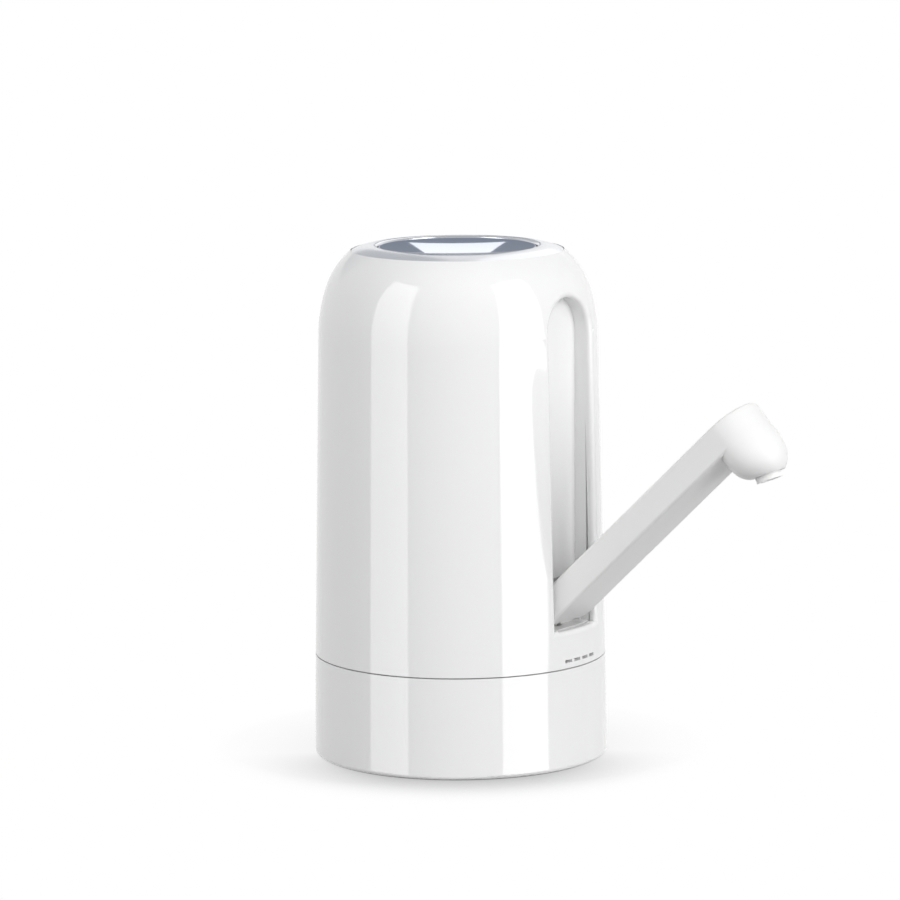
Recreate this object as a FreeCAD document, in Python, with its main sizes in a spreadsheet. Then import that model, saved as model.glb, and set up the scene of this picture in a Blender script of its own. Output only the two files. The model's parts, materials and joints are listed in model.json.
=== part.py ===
import FreeCAD, Part
import math
import os
import Sketcher
from FreeCAD import Placement, Rotation, Vector
from types import SimpleNamespace

# Motor pump for a water jug: a round housing that stands on the neck of the jug, with a push
# button on top and a spout arm that folds up into a recess in its front.
# Millimetres and degrees. The origin is the centre of the collar's underside, +Z is up and the
# spout points towards +X. The arm is drawn open, which is where it rests on its stop.

SIZES = {
    # collar and the socket for the jug's neck
    "neck_r": 27.5,
    "seal_thick": 1.0,
    "seal_gap": 0.1,
    "seal_rise": 3.0,
    "seal_lip_wide": 4.5,
    "seal_lip_thick": 1.6,
    "socket_wall": 2.0,
    "socket_high": 22.0,
    "collar_room": 4.5,
    "case_wall": 2.0,
    "collar_draft": 0.35,
    "collar_over": 0.75,
    "collar_edge_r": 0.9,
    "collar_floor_thick": 2.0,
    "collar_ribs": 12,
    "collar_rib_thick": 1.4,
    "collar_rib_high": 17.0,
    "seam_gap": 0.3,
    # screws that hold the case together
    "case_screws": 4,
    "case_screw_start": 45.0,
    "case_screw_out": 2.0,
    "screw_tube_r": 3.1,
    "screw_head_r": 2.1,
    "screw_grip": 10.0,
    "screw_head_thick": 1.6,
    "screw_shank_r": 1.1,
    "screw_long": 18.0,
    "screw_hole_r": 1.35,
    "screw_seat_r": 1.7,
    "pilot_r": 1.15,
    "pilot_deep": 8.0,
    "head_play": 0.25,
    # chassis plate
    "plate_thick": 2.5,
    "plate_gap": 0.35,
    "plate_rim_thick": 1.1,
    "plate_rim_high": 4.5,
    "cradle_wall": 1.4,
    "pump_cradle_high": 1.6,
    "battery_cradle_high": 6.0,
    "cradle_gap": 0.3,
    "post_r": 2.8,
    "vent_bore_r": 1.2,
    "vent_wall": 1.0,
    "vent_high": 6.0,
    "vent_x": -12.0,
    "vent_y": 4.0,
    "post_a_x": -20.0,
    "post_a_y": 2.0,
    "post_b_x": 12.0,
    "post_b_y": 3.5,
    # housing
    "housing_draft": 1.6,
    "shoulder_drop": 11.7,
    "shoulder_arc_r": 40.0,
    "shoulder_turn": 18.0,
    "crown_arc_r": 21.0,
    "crown_wide": 8.35,
    "ledge_deep": 1.5,
    "ledge_wide": 4.1,
    "ledge_thick": 1.7,
    "boss_r": 3.0,
    "boss_high": 14.0,
    # recess for the folded arm
    "recess_deep": 7.65,
    "recess_wall": 1.6,
    "recess_side_high": 3.2,
    "recess_corner_r": 2.2,
    "recess_lip_r": 1.1,
    "sill_gap": 0.1,
    "pocket_gap": 0.339,
    "hose_hole_r": 3.1,
    "slits": 4,
    "slit_rise": 1.75,
    "slit_high": 0.8,
    "slit_long": 2.5,
    "slit_pitch": 3.4,
    # spout arm, drawn upright from its hinge
    "fold_angle": 47.0,
    "arm_thick": 7.3,
    "arm_half": 8.6,
    "arm_back_gap": 0.25,
    "arm_side_gap": 0.3,
    "arm_heel_long": 2.6,
    "heel_r": 3.4,
    "arm_edge_r": 0.8,
    "arm_long": 66.6,
    "head_gap": 0.5,
    "cover_short": 2.6,
    "cover_thick": 1.1,
    "arm_wall": 1.5,
    "arm_skin_thick": 1.2,
    "duct_rise": 6.0,
    "trunnion_r": 1.1,
    "trunnion_play": 0.05,
    "trunnion_end_play": 0.15,
    "trunnion_hole_deep": 1.3,
    "nozzle_tilt": 20.0,
    "nozzle_long": 12.4,
    "nozzle_rise": 0.6,
    "nozzle_r": 4.5,
    "nozzle_bulge_r": 8.0,
    "nozzle_bore_r": 3.6,
    "nozzle_deep": 7.0,
    "insert_r": 3.25,
    "insert_bore_r": 2.5,
    "insert_proud": 1.5,
    "insert_collar_high": 1.5,
    # hoses
    "hose_r": 2.4,
    "hose_bore_r": 1.6,
    "hose_play": 0.1,
    "hose_bend_r": 10.0,
    "hose_rise": 1.5,
    "hose_short": 0.6,
    # ring, button and switch
    "ring_gap": 0.15,
    "ring_wide": 6.45,
    "ring_proud": 1.16,
    "ring_skirt_long": 1.29,
    "ring_skirt_thick": 1.1,
    "ring_edge_drop": 0.15,
    "ring_arc_r": 14.0,
    "ring_crest_arc_r": 0.8,
    "button_gap": 0.3,
    "button_drop": 0.45,
    "button_thick": 1.9,
    "button_dish_deep": 0.8,
    "button_edge_r": 0.35,
    "button_travel": 0.9,
    "carrier_step": 0.3,
    "carrier_thick": 1.3,
    "carrier_wall": 1.4,
    "flange_lap": 1.5,
    "flange_thick": 1.0,
    "flange_gap": 0.15,
    "stem_r": 2.5,
    "stem_gap": 0.1,
    "deck_lap": 3.9,
    "deck_thick": 1.6,
    "deck_drop": 3.1,
    "deck_boss_r": 2.4,
    "deck_screws": 3,
    "deck_screw_start": 60.0,
    "deck_screw_edge": 2.1,
    "guide_wall": 1.6,
    "guide_high": 1.8,
    "spring_r": 5.6,
    "spring_wire_r": 0.3,
    "spring_turns": 3.0,
    "small_screw_r": 0.9,
    "small_head_r": 1.7,
    "small_head_thick": 1.2,
    "small_screw_long": 4.4,
    # control board
    "board_drop": 11.89,
    "board_thick": 1.6,
    "board_gap": 7.0,
    "board_posts": 3,
    "board_post_start": 30.0,
    "board_post_edge": 3.5,
    "board_post_r": 2.2,
    "tongue_back": 2.0,
    "tongue_half": 8.0,
    "usb_long": 6.0,
    "usb_wide": 7.6,
    "usb_high": 2.7,
    "usb_wall": 0.4,
    "usb_sink": 2.55,
    "usb_hole_play": 0.6,
    "usb_tongue_thick": 0.7,
    "usb_tongue_half": 1.8,
    "switch_wide": 6.0,
    "switch_high": 3.5,
    "plunger_r": 1.7,
    "plunger_play": 0.05,
    "plunger_proud": 1.0,
    "plunger_deep": 1.5,
    # battery
    "battery_x": -3.0,
    "battery_y": 17.5,
    "battery_r": 9.15,
    "battery_long": 65.2,
    "tab_thick": 0.3,
    "tab_wide": 5.0,
    # pump, from its cover up to the motor
    "pump_x": -2.0,
    "pump_gap": 1.65,
    "pump_step": 1.5,
    "pump_turn": 33.4,
    "pump_ears": 4,
    "pump_ear_start": 45.0,
    "pump_ear_out": 1.1,
    "pump_ear_r": 2.2,
    "cover_high": 8.5,
    "cover_wall": 2.0,
    "outlet_chamber_r": 2.2,
    "outlet_wall": 1.2,
    "port_tube_r": 2.2,
    "port_rise": 4.9613,
    "nipple_r": 1.52,
    "nipple_bore_r": 0.95,
    "nipple_long": 6.5,
    "clip_thick": 0.6,
    "clip_wide": 2.0,
    "inlet_ring_r": 6.3,
    "inlet_angle": 40.0,
    "inlet_bore_r": 1.6,
    "inlet_neck_r": 2.4,
    "inlet_neck_high": 4.5,
    "inlet_flange_r": 6.0,
    "inlet_flange_thick": 1.5,
    "inlet_pipe_r": 3.6,
    "inlet_tip_taper": 0.6,
    "inlet_tip_long": 2.0,
    "inlet_pipe_long": 14.0,
    "inlet_play": 0.1,
    "o_ring_thick": 0.8,
    "valve_plate_thick": 2.0,
    "valve_r": 2.0,
    "valve_thick": 0.5,
    "valve_stem_r": 0.5,
    "valve_ports": 3,
    "valve_port_r": 0.45,
    "valve_port_ring_r": 1.25,
    "diaphragm_thick": 1.5,
    "cups": 3,
    "cup_start": 60.0,
    "cup_ring_r": 6.3,
    "cup_r": 4.0,
    "cup_wall": 1.0,
    "cup_gap": 0.3,
    "cup_high": 3.5,
    "cup_stem_r": 0.9,
    "cup_stem_high": 3.6,
    "cup_knob_r": 1.4,
    "cup_knob_high": 0.9,
    "pump_body_high": 15.5,
    "pump_body_floor_thick": 3.5,
    "pump_body_wall": 1.9,
    "pump_flange_thick": 2.0,
    "wobble_rise": 2.0,
    "wobble_thick": 1.6,
    "wobble_tilt": 5.0,
    "wobble_hub_r": 2.6,
    "wobble_hub_high": 2.4,
    "wobble_eye_bore_r": 2.2,
    "wobble_eye_r": 3.1,
    "wobble_arm_wide": 3.0,
    "crank_pin_r": 0.8,
    "crank_pin_rise": 0.2,
    "crank_pin_long": 5.2,
    "crank_play": 0.05,
    "eccentric_r": 5.0,
    "eccentric_rise": 3.4,
    "eccentric_high": 5.0,
    "eccentric_shaft_deep": 2.4,
    # motor
    "motor_r": 12.0,
    "motor_wall": 0.8,
    "motor_cap_thick": 1.2,
    "motor_cap_plug_long": 1.5,
    "motor_cap_boss_r": 4.0,
    "motor_cap_boss_high": 1.8,
    "motor_play": 0.1,
    "winding_gap": 0.15,
    "winding_step": 0.25,
    "winding_high": 1.5,
    "shaft_r": 1.0,
    "shaft_play": 0.04,
    "shaft_tail_long": 1.0,
    "bush_r": 2.6,
    "bush_long": 2.4,
    "magnet_thick": 2.4,
    "magnet_over": 3.0,
    "magnet_angle": 120.0,
    "magnet_rise": 5.0,
    "rotor_r": 8.0,
    "rotor_long": 14.0,
    "rotor_poles": 3,
    "rotor_slot_wide": 1.6,
    "rotor_slot_r": 1.9,
    "rotor_slot_ring_r": 5.2,
    "commutator_r": 2.8,
    "commutator_long": 4.0,
    "commutator_gap": 0.35,
    "commutator_end_gap": 1.5,
    "brush_play": 0.05,
    "brush_wide": 1.6,
    "brush_long": 2.6,
    "brush_high": 2.0,
    "retainer_thick": 1.6,
    "retainer_edge": 3.5,
    "retainer_lap": 5.0,
    "retainer_gap": 0.4,
    # wires, and the chips on the board
    "lead_r": 0.6,
    "lead_gap": 0.05,
    "lead_hole_play": 0.3,
    "lead_end_long": 1.5,
    "lead_swing_x": 2.0,
    "lead_swing_y": 4.5,
    "motor_lead_x": 8.0,
    "cell_lead_y": 5.0,
    "chip_x": -11.0,
    "chip_y": -6.0,
    "chip_long": 5.0,
    "chip_wide": 4.0,
    "chip_high": 1.5,
    "transistor_x": 9.0,
    "transistor_y": -6.0,
    "transistor_long": 6.5,
    "transistor_wide": 6.0,
    "transistor_high": 2.3,
}

doc = FreeCAD.newDocument("JugPump")
sheet = doc.addObject("Spreadsheet::Sheet", "Sizes")
for row, (alias, number) in enumerate(SIZES.items(), start=1):
    sheet.set(f"A{row}", alias)
    sheet.set(f"B{row}", str(number))
    sheet.setAlias(f"B{row}", alias)
doc.recompute()


class Size:
    """A number together with the spreadsheet formula that it comes from."""

    def __init__(self, value, formula):
        self.value = value
        self.formula = formula

    def join(self, sign, other, value):
        return Size(value, f"({self.formula} {sign} {size(other).formula})")

    def __add__(self, other):
        return self.join("+", other, self.value + size(other).value)

    def __sub__(self, other):
        return self.join("-", other, self.value - size(other).value)

    def __mul__(self, other):
        return self.join("*", other, self.value * size(other).value)

    def __truediv__(self, other):
        return self.join("/", other, self.value / size(other).value)

    def __radd__(self, other):
        return size(other) + self

    def __rsub__(self, other):
        return size(other) - self

    def __rmul__(self, other):
        return size(other) * self

    def __rtruediv__(self, other):
        return size(other) / self

    def __neg__(self):
        return size(0) - self


def size(number):
    return number if isinstance(number, Size) else Size(float(number), repr(float(number)))


def cosine(angle):
    angle = size(angle)
    return Size(math.cos(math.radians(angle.value)), f"cos({angle.formula} * 1 deg)")


def sine(angle):
    angle = size(angle)
    return Size(math.sin(math.radians(angle.value)), f"sin({angle.formula} * 1 deg)")


def tangent(angle):
    return sine(angle) / cosine(angle)


def root(number):
    return Size(math.sqrt(number.value), f"sqrt({number.formula})")


s = SimpleNamespace(**{alias: Size(float(number), f"Sizes.{alias}") for alias, number in SIZES.items()})


UP = Vector(0, 0, 1)
ACROSS = Vector(0, 1, 0)
FULL_TURN = 360.0
HALF_TURN = 180.0
RIGHT_ANGLE = 90.0
NEAR = 1e-3
CLOSE = 1e-2
LEAST_CUT = 1e-4

# ---------------------------------------------------------------- building blocks


def bind(thing, path, number):
    """Tie a property to the sheet."""
    thing.setExpression(path, size(number).formula)


def place(thing, x=0, y=0, z=0, axis=None, angle=0):
    """Put a sub-part where the sheet says, turned by an angle about an axis."""
    if axis is not None:
        thing.Placement = Placement(Vector(), Rotation(axis, size(angle).value))
        bind(thing, "Placement.Rotation.Angle", angle)
    for path, number in (("x", x), ("y", y), ("z", z)):
        if isinstance(number, Size):
            bind(thing, f"Placement.Base.{path}", number)
        elif number:
            raise ValueError("a place comes from the sheet")


def new_body(label):
    body = doc.addObject("PartDesign::Body", label)
    body.Label = label
    return body


def sketch_on(body, role, offset=None):
    """A sketch on one of the body's origin planes, moved along the plane's normal."""
    sketch = body.newObject("Sketcher::SketchObject", f"{body.Name}_outline")
    plane = next(f for f in body.Origin.OriginFeatures if f.Role == role)
    sketch.AttachmentSupport = (plane, "")
    sketch.MapMode = "FlatFace"
    if offset is not None:
        bind(sketch, "AttachmentOffset.Base.z", offset)
    return sketch


def pin_point(sketch, geometry, end, x, y):
    """Fix a point of the sketch by its two coordinates."""
    for kind, axis, number in (("DistanceX", -2, size(x)), ("DistanceY", -1, size(y))):
        if number.formula == "0.0":
            sketch.addConstraint(Sketcher.Constraint("PointOnObject", geometry, end, axis))
            continue
        index = sketch.addConstraint(Sketcher.Constraint(kind, -1, 1, geometry, end, number.value))
        sketch.setExpression(f"Constraints[{index}]", number.formula)


def ccw(x, y, radius):
    """A corner reached by an arc that turns left."""
    return x, y, radius, True


def cw(x, y, radius):
    """A corner reached by an arc that turns right."""
    return x, y, radius, False


def arc_between(start, end, radius, left):
    half = (end - start) * 0.5
    rise = math.sqrt(max(radius**2 - half.Length**2, 0.0))
    side = Vector(-half.y, half.x, 0).normalize() * (rise if left else -rise)
    centre = start + half + side
    first, last = (start, end) if left else (end, start)
    angles = [math.atan2(p.y - centre.y, p.x - centre.x) for p in (first, last)]
    circle = Part.Circle(centre, Vector(0, 0, 1), radius)
    return Part.ArcOfCircle(circle, angles[0], angles[1])


def draw_outline(sketch, corners):
    """A closed outline. Each corner is (x, y), or ccw(...) or cw(...) where an arc arrives."""
    spots = [Vector(size(x).value, size(y).value, 0) for x, y, *_ in corners]
    edges = []
    for i, (_, _, *bend) in enumerate(corners):
        if not bend:
            geometry = sketch.addGeometry(Part.LineSegment(spots[i - 1], spots[i]), False)
            edges.append((geometry, 1, 2))
            continue
        radius, left = bend
        arc = arc_between(spots[i - 1], spots[i], size(radius).value, left)
        geometry = sketch.addGeometry(arc, False)
        edges.append((geometry, 1, 2) if left else (geometry, 2, 1))
    for i, (geometry, start, end) in enumerate(edges):
        before = edges[i - 1]
        sketch.addConstraint(Sketcher.Constraint("Coincident", before[0], before[2], geometry, start))
        pin_point(sketch, geometry, end, corners[i][0], corners[i][1])
    for (geometry, _, _), (_, _, *bend) in zip(edges, corners):
        if bend:
            radius = size(bend[0])
            index = sketch.addConstraint(Sketcher.Constraint("Radius", geometry, radius.value))
            sketch.setExpression(f"Constraints[{index}]", radius.formula)
    return sketch


def draw_circle(sketch, x, y, radius):
    spot = Vector(size(x).value, size(y).value, 0)
    circle = Part.Circle(spot, Vector(0, 0, 1), size(radius).value)
    geometry = sketch.addGeometry(circle, False)
    pin_point(sketch, geometry, 3, x, y)
    index = sketch.addConstraint(Sketcher.Constraint("Radius", geometry, size(radius).value))
    sketch.setExpression(f"Constraints[{index}]", size(radius).formula)
    return sketch


def box_corners(x0, x1, y0, y1):
    return [(x0, y0), (x1, y0), (x1, y1), (x0, y1)]


def round_the_ring(count, ring, first=0):
    """Places of pieces that stand evenly on a circle."""
    for i in range(int(count.value)):
        angle = first + FULL_TURN / count * i
        yield ring * cosine(angle), ring * sine(angle), angle


def case_screw_spots():
    return list(round_the_ring(s.case_screws, case_screw_ring, s.case_screw_start))


def deck_screw_spots():
    return list(round_the_ring(s.deck_screws, deck_screw_ring, s.deck_screw_start))


def board_post_spots():
    return list(round_the_ring(s.board_posts, board_post_ring, s.board_post_start))


def pump_ear_spots():
    return list(round_the_ring(s.pump_ears, pump_ear_ring, s.pump_ear_start))


def motor_lead_spots():
    """Where the motor's two wires leave its end cap, and which way each swings."""
    return [(s.pump_x + side * s.motor_lead_x, pump_y, -side) for side in (-1, 1)]


def extrude(body, kind, sketch, length, both_ways=False, reverse=False):
    feature = body.newObject(f"PartDesign::{kind}", f"{body.Name}_{kind.lower()}")
    feature.Profile = sketch
    bind(feature, "Length", length)
    if both_ways:
        feature.SideType = "Symmetric"
    feature.Reversed = reverse
    sketch.Visibility = False
    return feature


def pad(body, sketch, length, **options):
    return extrude(body, "Pad", sketch, length, **options)


def pocket(body, sketch, length, **options):
    """A cut that is checked to remove something."""
    doc.recompute()
    before = body.Shape.Volume
    feature = extrude(body, "Pocket", sketch, length, **options)
    doc.recompute()
    if body.Shape.Volume > before - LEAST_CUT:
        raise ValueError(f"{body.Label}: a pocket cuts nothing")
    return feature


def turn(body, kind, sketch, axis="V_Axis"):
    feature = body.newObject(f"PartDesign::{kind}", f"{body.Name}_{kind.lower()}")
    feature.Profile = sketch
    feature.ReferenceAxis = (sketch, [axis])
    feature.Angle = FULL_TURN
    sketch.Visibility = False
    return feature


def revolve(body, corners):
    """Turn an outline of (radius, height) corners about Z."""
    return turn(body, "Revolution", draw_outline(sketch_on(body, "XZ_Plane"), corners))


def groove(body, corners):
    doc.recompute()
    before = body.Shape.Volume
    feature = turn(body, "Groove", draw_outline(sketch_on(body, "XZ_Plane"), corners))
    doc.recompute()
    if body.Shape.Volume > before - LEAST_CUT:
        raise ValueError(f"{body.Label}: a groove cuts nothing")
    return feature


def edges_where(feature, test):
    """Names of the edges whose bounding box passes a test."""
    doc.recompute()
    found = [f"Edge{i}" for i, e in enumerate(feature.Shape.Edges, start=1) if test(e)]
    if not found:
        raise ValueError(f"{feature.Label}: no edge to round")
    return found


def dress(body, kind, feature, edges, amount):
    rounded = body.newObject(f"PartDesign::{kind}", f"{body.Name}_{kind.lower()}")
    rounded.Base = (feature, edges)
    bind(rounded, "Radius" if kind == "Fillet" else "Size", amount)
    return rounded


def lies_at_height(height):
    """True for an edge that lies level at a height."""
    level = size(height).value

    def test(edge):
        box = edge.BoundBox
        return abs(box.ZMin - level) < NEAR and abs(box.ZMax - level) < NEAR

    return test


def cylinder(label, radius, height, x=0, y=0, z=0):
    rod = doc.addObject("Part::Cylinder", label)
    rod.Label = label
    bind(rod, "Radius", radius)
    bind(rod, "Height", height)
    place(rod, size(x), size(y), size(z))
    return rod


def fuse(label, *pieces):
    whole = doc.addObject("Part::MultiFuse", label)
    whole.Label = label
    whole.Shapes = list(pieces)
    return whole


def cut(label, base, tool):
    whole = doc.addObject("Part::Cut", label)
    whole.Label = label
    whole.Base, whole.Tool = base, tool
    return whole


def group(label, pieces):
    """Identical pieces kept together in one node."""
    whole = doc.addObject("Part::Compound", label)
    whole.Label = label
    whole.Links = list(pieces)
    return whole


def tube(label, outer, bore, height, x=0, y=0, z=0):
    wall = cylinder(f"{label}_wall", outer, height, x, y, z)
    hole = cylinder(f"{label}_hole", bore, height, x, y, z)
    return cut(label, wall, hole)


def screws(label, spots, head_r, head_thick, shank_r, long):
    """Pan-head screws that point up, each spot being the centre of the head's seat."""
    made = []
    for i, (x, y, z) in enumerate(spots):
        head = cylinder(f"{label}_head{i}", head_r, head_thick, x, y, z - head_thick)
        shank = cylinder(f"{label}_shank{i}", shank_r, long, x, y, z)
        made.append(fuse(f"{label}_{i}", head, shank))
    return group(label, made)


def hose(label, path, outer, bore):
    """A flexible tube along straight runs and arcs."""
    wall, hole = (Part.Wire(path).makePipeShell([section(path[0], r)], True, False) for r in (outer, bore))
    piece = doc.addObject("Part::Feature", label)
    piece.Label = label
    piece.Shape = wall.cut(hole)
    return piece


def section(edge, radius):
    start = edge.valueAt(edge.FirstParameter)
    along = edge.tangentAt(edge.FirstParameter)
    return Part.Wire(Part.makeCircle(radius, start, along))


# ---------------------------------------------------------------- levels and places that pieces share

socket_r = s.neck_r + s.seal_thick
socket_tube_r = socket_r + s.socket_wall
collar_r = socket_tube_r + s.collar_room + s.case_wall
collar_top_r = collar_r - s.collar_draft
foot_r = collar_top_r
shoulder_r = foot_r - s.housing_draft
mouth_r = shoulder_r - s.crown_wide
ledge_r = mouth_r - s.ledge_wide
case_screw_ring = socket_tube_r + s.case_screw_out
screw_head_z = s.socket_high - s.screw_grip

plate_top = s.socket_high + s.plate_thick
collar_top = plate_top + s.collar_over
housing_foot = collar_top + s.seam_gap
slit_z = housing_foot + s.slit_rise

pump_r = s.motor_r + s.pump_step
pump_ear_ring = pump_r + s.pump_ear_out
pump_reach = pump_ear_ring + s.pump_ear_r + s.cradle_gap + s.cradle_wall
pump_y = pump_reach + s.pump_gap - (foot_r - s.case_wall)
elbow_x = s.pump_x - pump_y / tangent(s.pump_turn)
port_z = plate_top + s.port_rise

recess_floor_x = foot_r - s.recess_deep
recess_reach = recess_floor_x + s.recess_side_high
recess_half = s.arm_half + s.arm_side_gap
trunnion_long = s.arm_side_gap + s.trunnion_hole_deep - s.trunnion_end_play
open_angle = RIGHT_ANGLE - s.fold_angle
hinge_x = recess_floor_x + s.arm_back_gap + s.arm_thick / 2
hinge_z = port_z + (hinge_x - elbow_x) * tangent(open_angle)
arm_foot = -s.arm_heel_long - s.arm_thick / 2
heel_side = s.arm_thick / 2 - s.heel_r
heel_low = arm_foot + s.heel_r
heel_reach = root(heel_side * heel_side + heel_low * heel_low) + s.heel_r
pocket_r = heel_reach + s.pocket_gap
hinge_bend_start = pocket_r + s.recess_wall / 2
recess_top = hinge_z + s.arm_long + s.arm_half + s.head_gap
recess_sill = hinge_z - pocket_r - s.sill_gap
cover_end = s.arm_long - s.cover_short
duct_end = cover_end - s.arm_wall
nozzle_z = s.arm_long + s.nozzle_rise
tube_end = s.arm_long - s.hose_short

shoulder_z = recess_top - s.shoulder_drop
shoulder_mid_r = shoulder_r - s.shoulder_arc_r * (1 - cosine(s.shoulder_turn))
shoulder_mid_z = shoulder_z + s.shoulder_arc_r * sine(s.shoulder_turn)
crown_r = shoulder_mid_r - s.crown_arc_r * cosine(s.shoulder_turn)
crown_z = shoulder_mid_z - s.crown_arc_r * sine(s.shoulder_turn)


def crown_height(radius, arc):
    """Height of the crown's arc above a radius."""
    reach = radius - crown_r
    return crown_z + root(arc * arc - reach * reach)


def crown_radius(height, arc):
    rise = height - crown_z
    return crown_r + root(arc * arc - rise * rise)


mouth_z = crown_height(mouth_r, s.crown_arc_r)
ledge_z = mouth_z - s.ledge_deep
ledge_under = ledge_z - s.ledge_thick
deck_top = ledge_under - s.deck_drop
deck_under = deck_top - s.deck_thick
deck_r = ledge_r + s.deck_lap
deck_screw_ring = deck_r - s.deck_screw_edge

ring_r = mouth_r - s.ring_gap
ring_bore_r = ring_r - s.ring_wide
ring_crest_z = mouth_z + s.ring_proud
ring_skirt_z = ledge_z - s.ring_skirt_long
button_r = ring_bore_r - s.button_gap
button_top = ring_crest_z - s.button_drop
button_under = button_top - s.button_thick
carrier_r = button_r - s.carrier_step
carrier_under = button_under - s.carrier_thick
flange_r = ring_bore_r + s.flange_lap

board_z = deck_under - s.board_drop
board_top = board_z + s.board_thick
board_r = recess_floor_x - s.board_gap
board_post_ring = board_r - s.board_post_edge
usb_face_x = shoulder_r - s.usb_sink
tongue_x = usb_face_x - s.tongue_back
switch_top = board_top + s.switch_high
stem_foot = switch_top + s.plunger_proud + s.plunger_play

inlet_x = s.pump_x + s.inlet_ring_r * cosine(s.inlet_angle + s.pump_turn)
inlet_y = pump_y + s.inlet_ring_r * sine(s.inlet_angle + s.pump_turn)
valve_z = plate_top + s.cover_high
diaphragm_z = valve_z + s.valve_plate_thick
pump_body_z = diaphragm_z + s.diaphragm_thick
cup_top = pump_body_z + s.cup_high
wobble_z = pump_body_z + s.pump_body_floor_thick + s.wobble_rise
eccentric_z = wobble_z + s.eccentric_rise
motor_z = pump_body_z + s.pump_body_high
magnet_z = motor_z + s.magnet_rise
rotor_z = magnet_z + s.magnet_over
rotor_top = rotor_z + s.rotor_long
winding_foot = rotor_z - s.winding_gap - s.winding_high
winding_top = rotor_top + s.winding_gap + s.winding_high
commutator_z = winding_top + s.commutator_gap
commutator_top = commutator_z + s.commutator_long
motor_top = commutator_top + s.commutator_end_gap + s.motor_cap_plug_long
battery_z = plate_top + s.cradle_gap + s.tab_thick
retainer_z = battery_z + s.battery_long + s.tab_thick + s.retainer_gap
screw_hole = s.small_screw_r + s.seal_gap
cell_side_y = s.battery_y - s.battery_r - s.lead_r - s.lead_gap


# ---------------------------------------------------------------- case


def base_collar():
    """Socket for the jug's neck inside a plain outer skirt."""
    body = new_body("base_collar")
    skirt = revolve(
        body,
        [
            (socket_r, 0),
            (collar_r, 0),
            (collar_top_r, collar_top),
            (collar_top_r - s.case_wall, collar_top),
            (collar_r - s.case_wall, s.collar_floor_thick),
            (socket_tube_r, s.collar_floor_thick),
            (socket_tube_r, s.socket_high),
            (socket_r, s.socket_high),
        ],
    )
    outer = [e for e in edges_where(skirt, lies_at_height(0)) if is_round(skirt, e, collar_r)]
    dress(body, "Fillet", skirt, outer, s.collar_edge_r)
    tubes = sketch_on(body, "XY_Plane")
    for x, y, _ in case_screw_spots():
        draw_circle(tubes, x, y, s.screw_tube_r)
    pad(body, tubes, s.socket_high)
    rib = sketch_on(body, "XY_Plane", s.collar_floor_thick / 2)
    near, far = socket_tube_r - s.socket_wall / 2, collar_top_r - s.case_wall / 2
    half = s.collar_rib_thick / 2
    draw_outline(rib, box_corners(near, far, -half, half))
    ribs = pad(body, rib, s.collar_rib_high)
    rib_ring = body.newObject("PartDesign::PolarPattern", "collar_ribs")
    rib_ring.Originals = [ribs]
    rib_ring.Axis = (rib, ["N_Axis"])
    rib_ring.Angle = FULL_TURN
    bind(rib_ring, "Occurrences", s.collar_ribs)
    body.Tip = rib_ring
    holes = sketch_on(body, "XY_Plane", s.socket_high)
    heads = sketch_on(body, "XY_Plane", screw_head_z)
    for x, y, _ in case_screw_spots():
        draw_circle(holes, x, y, s.screw_hole_r)
        draw_circle(heads, x, y, s.screw_head_r + s.head_play)
    pocket(body, holes, s.socket_high)
    pocket(body, heads, screw_head_z)
    return body


def is_round(feature, name, radius):
    """True when the named edge is a circle of a radius."""
    curve = feature.Shape.getElement(name).Curve
    return isinstance(curve, Part.Circle) and abs(curve.Radius - radius.value) < 1e-6


def neck_seal():
    """Silicone sleeve that grips the jug's neck, with a lip that seals on the neck's rim."""
    body = new_body("neck_seal")
    outer = socket_r - s.seal_gap
    lip_z = s.socket_high - s.seal_lip_thick
    revolve(
        body,
        [
            (outer, s.seal_rise),
            (outer, s.socket_high),
            (s.neck_r - s.seal_lip_wide, s.socket_high),
            (s.neck_r - s.seal_lip_wide, lip_z),
            (s.neck_r, lip_z),
            (s.neck_r, s.seal_rise + s.seal_gap),
        ],
    )
    return body


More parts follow.
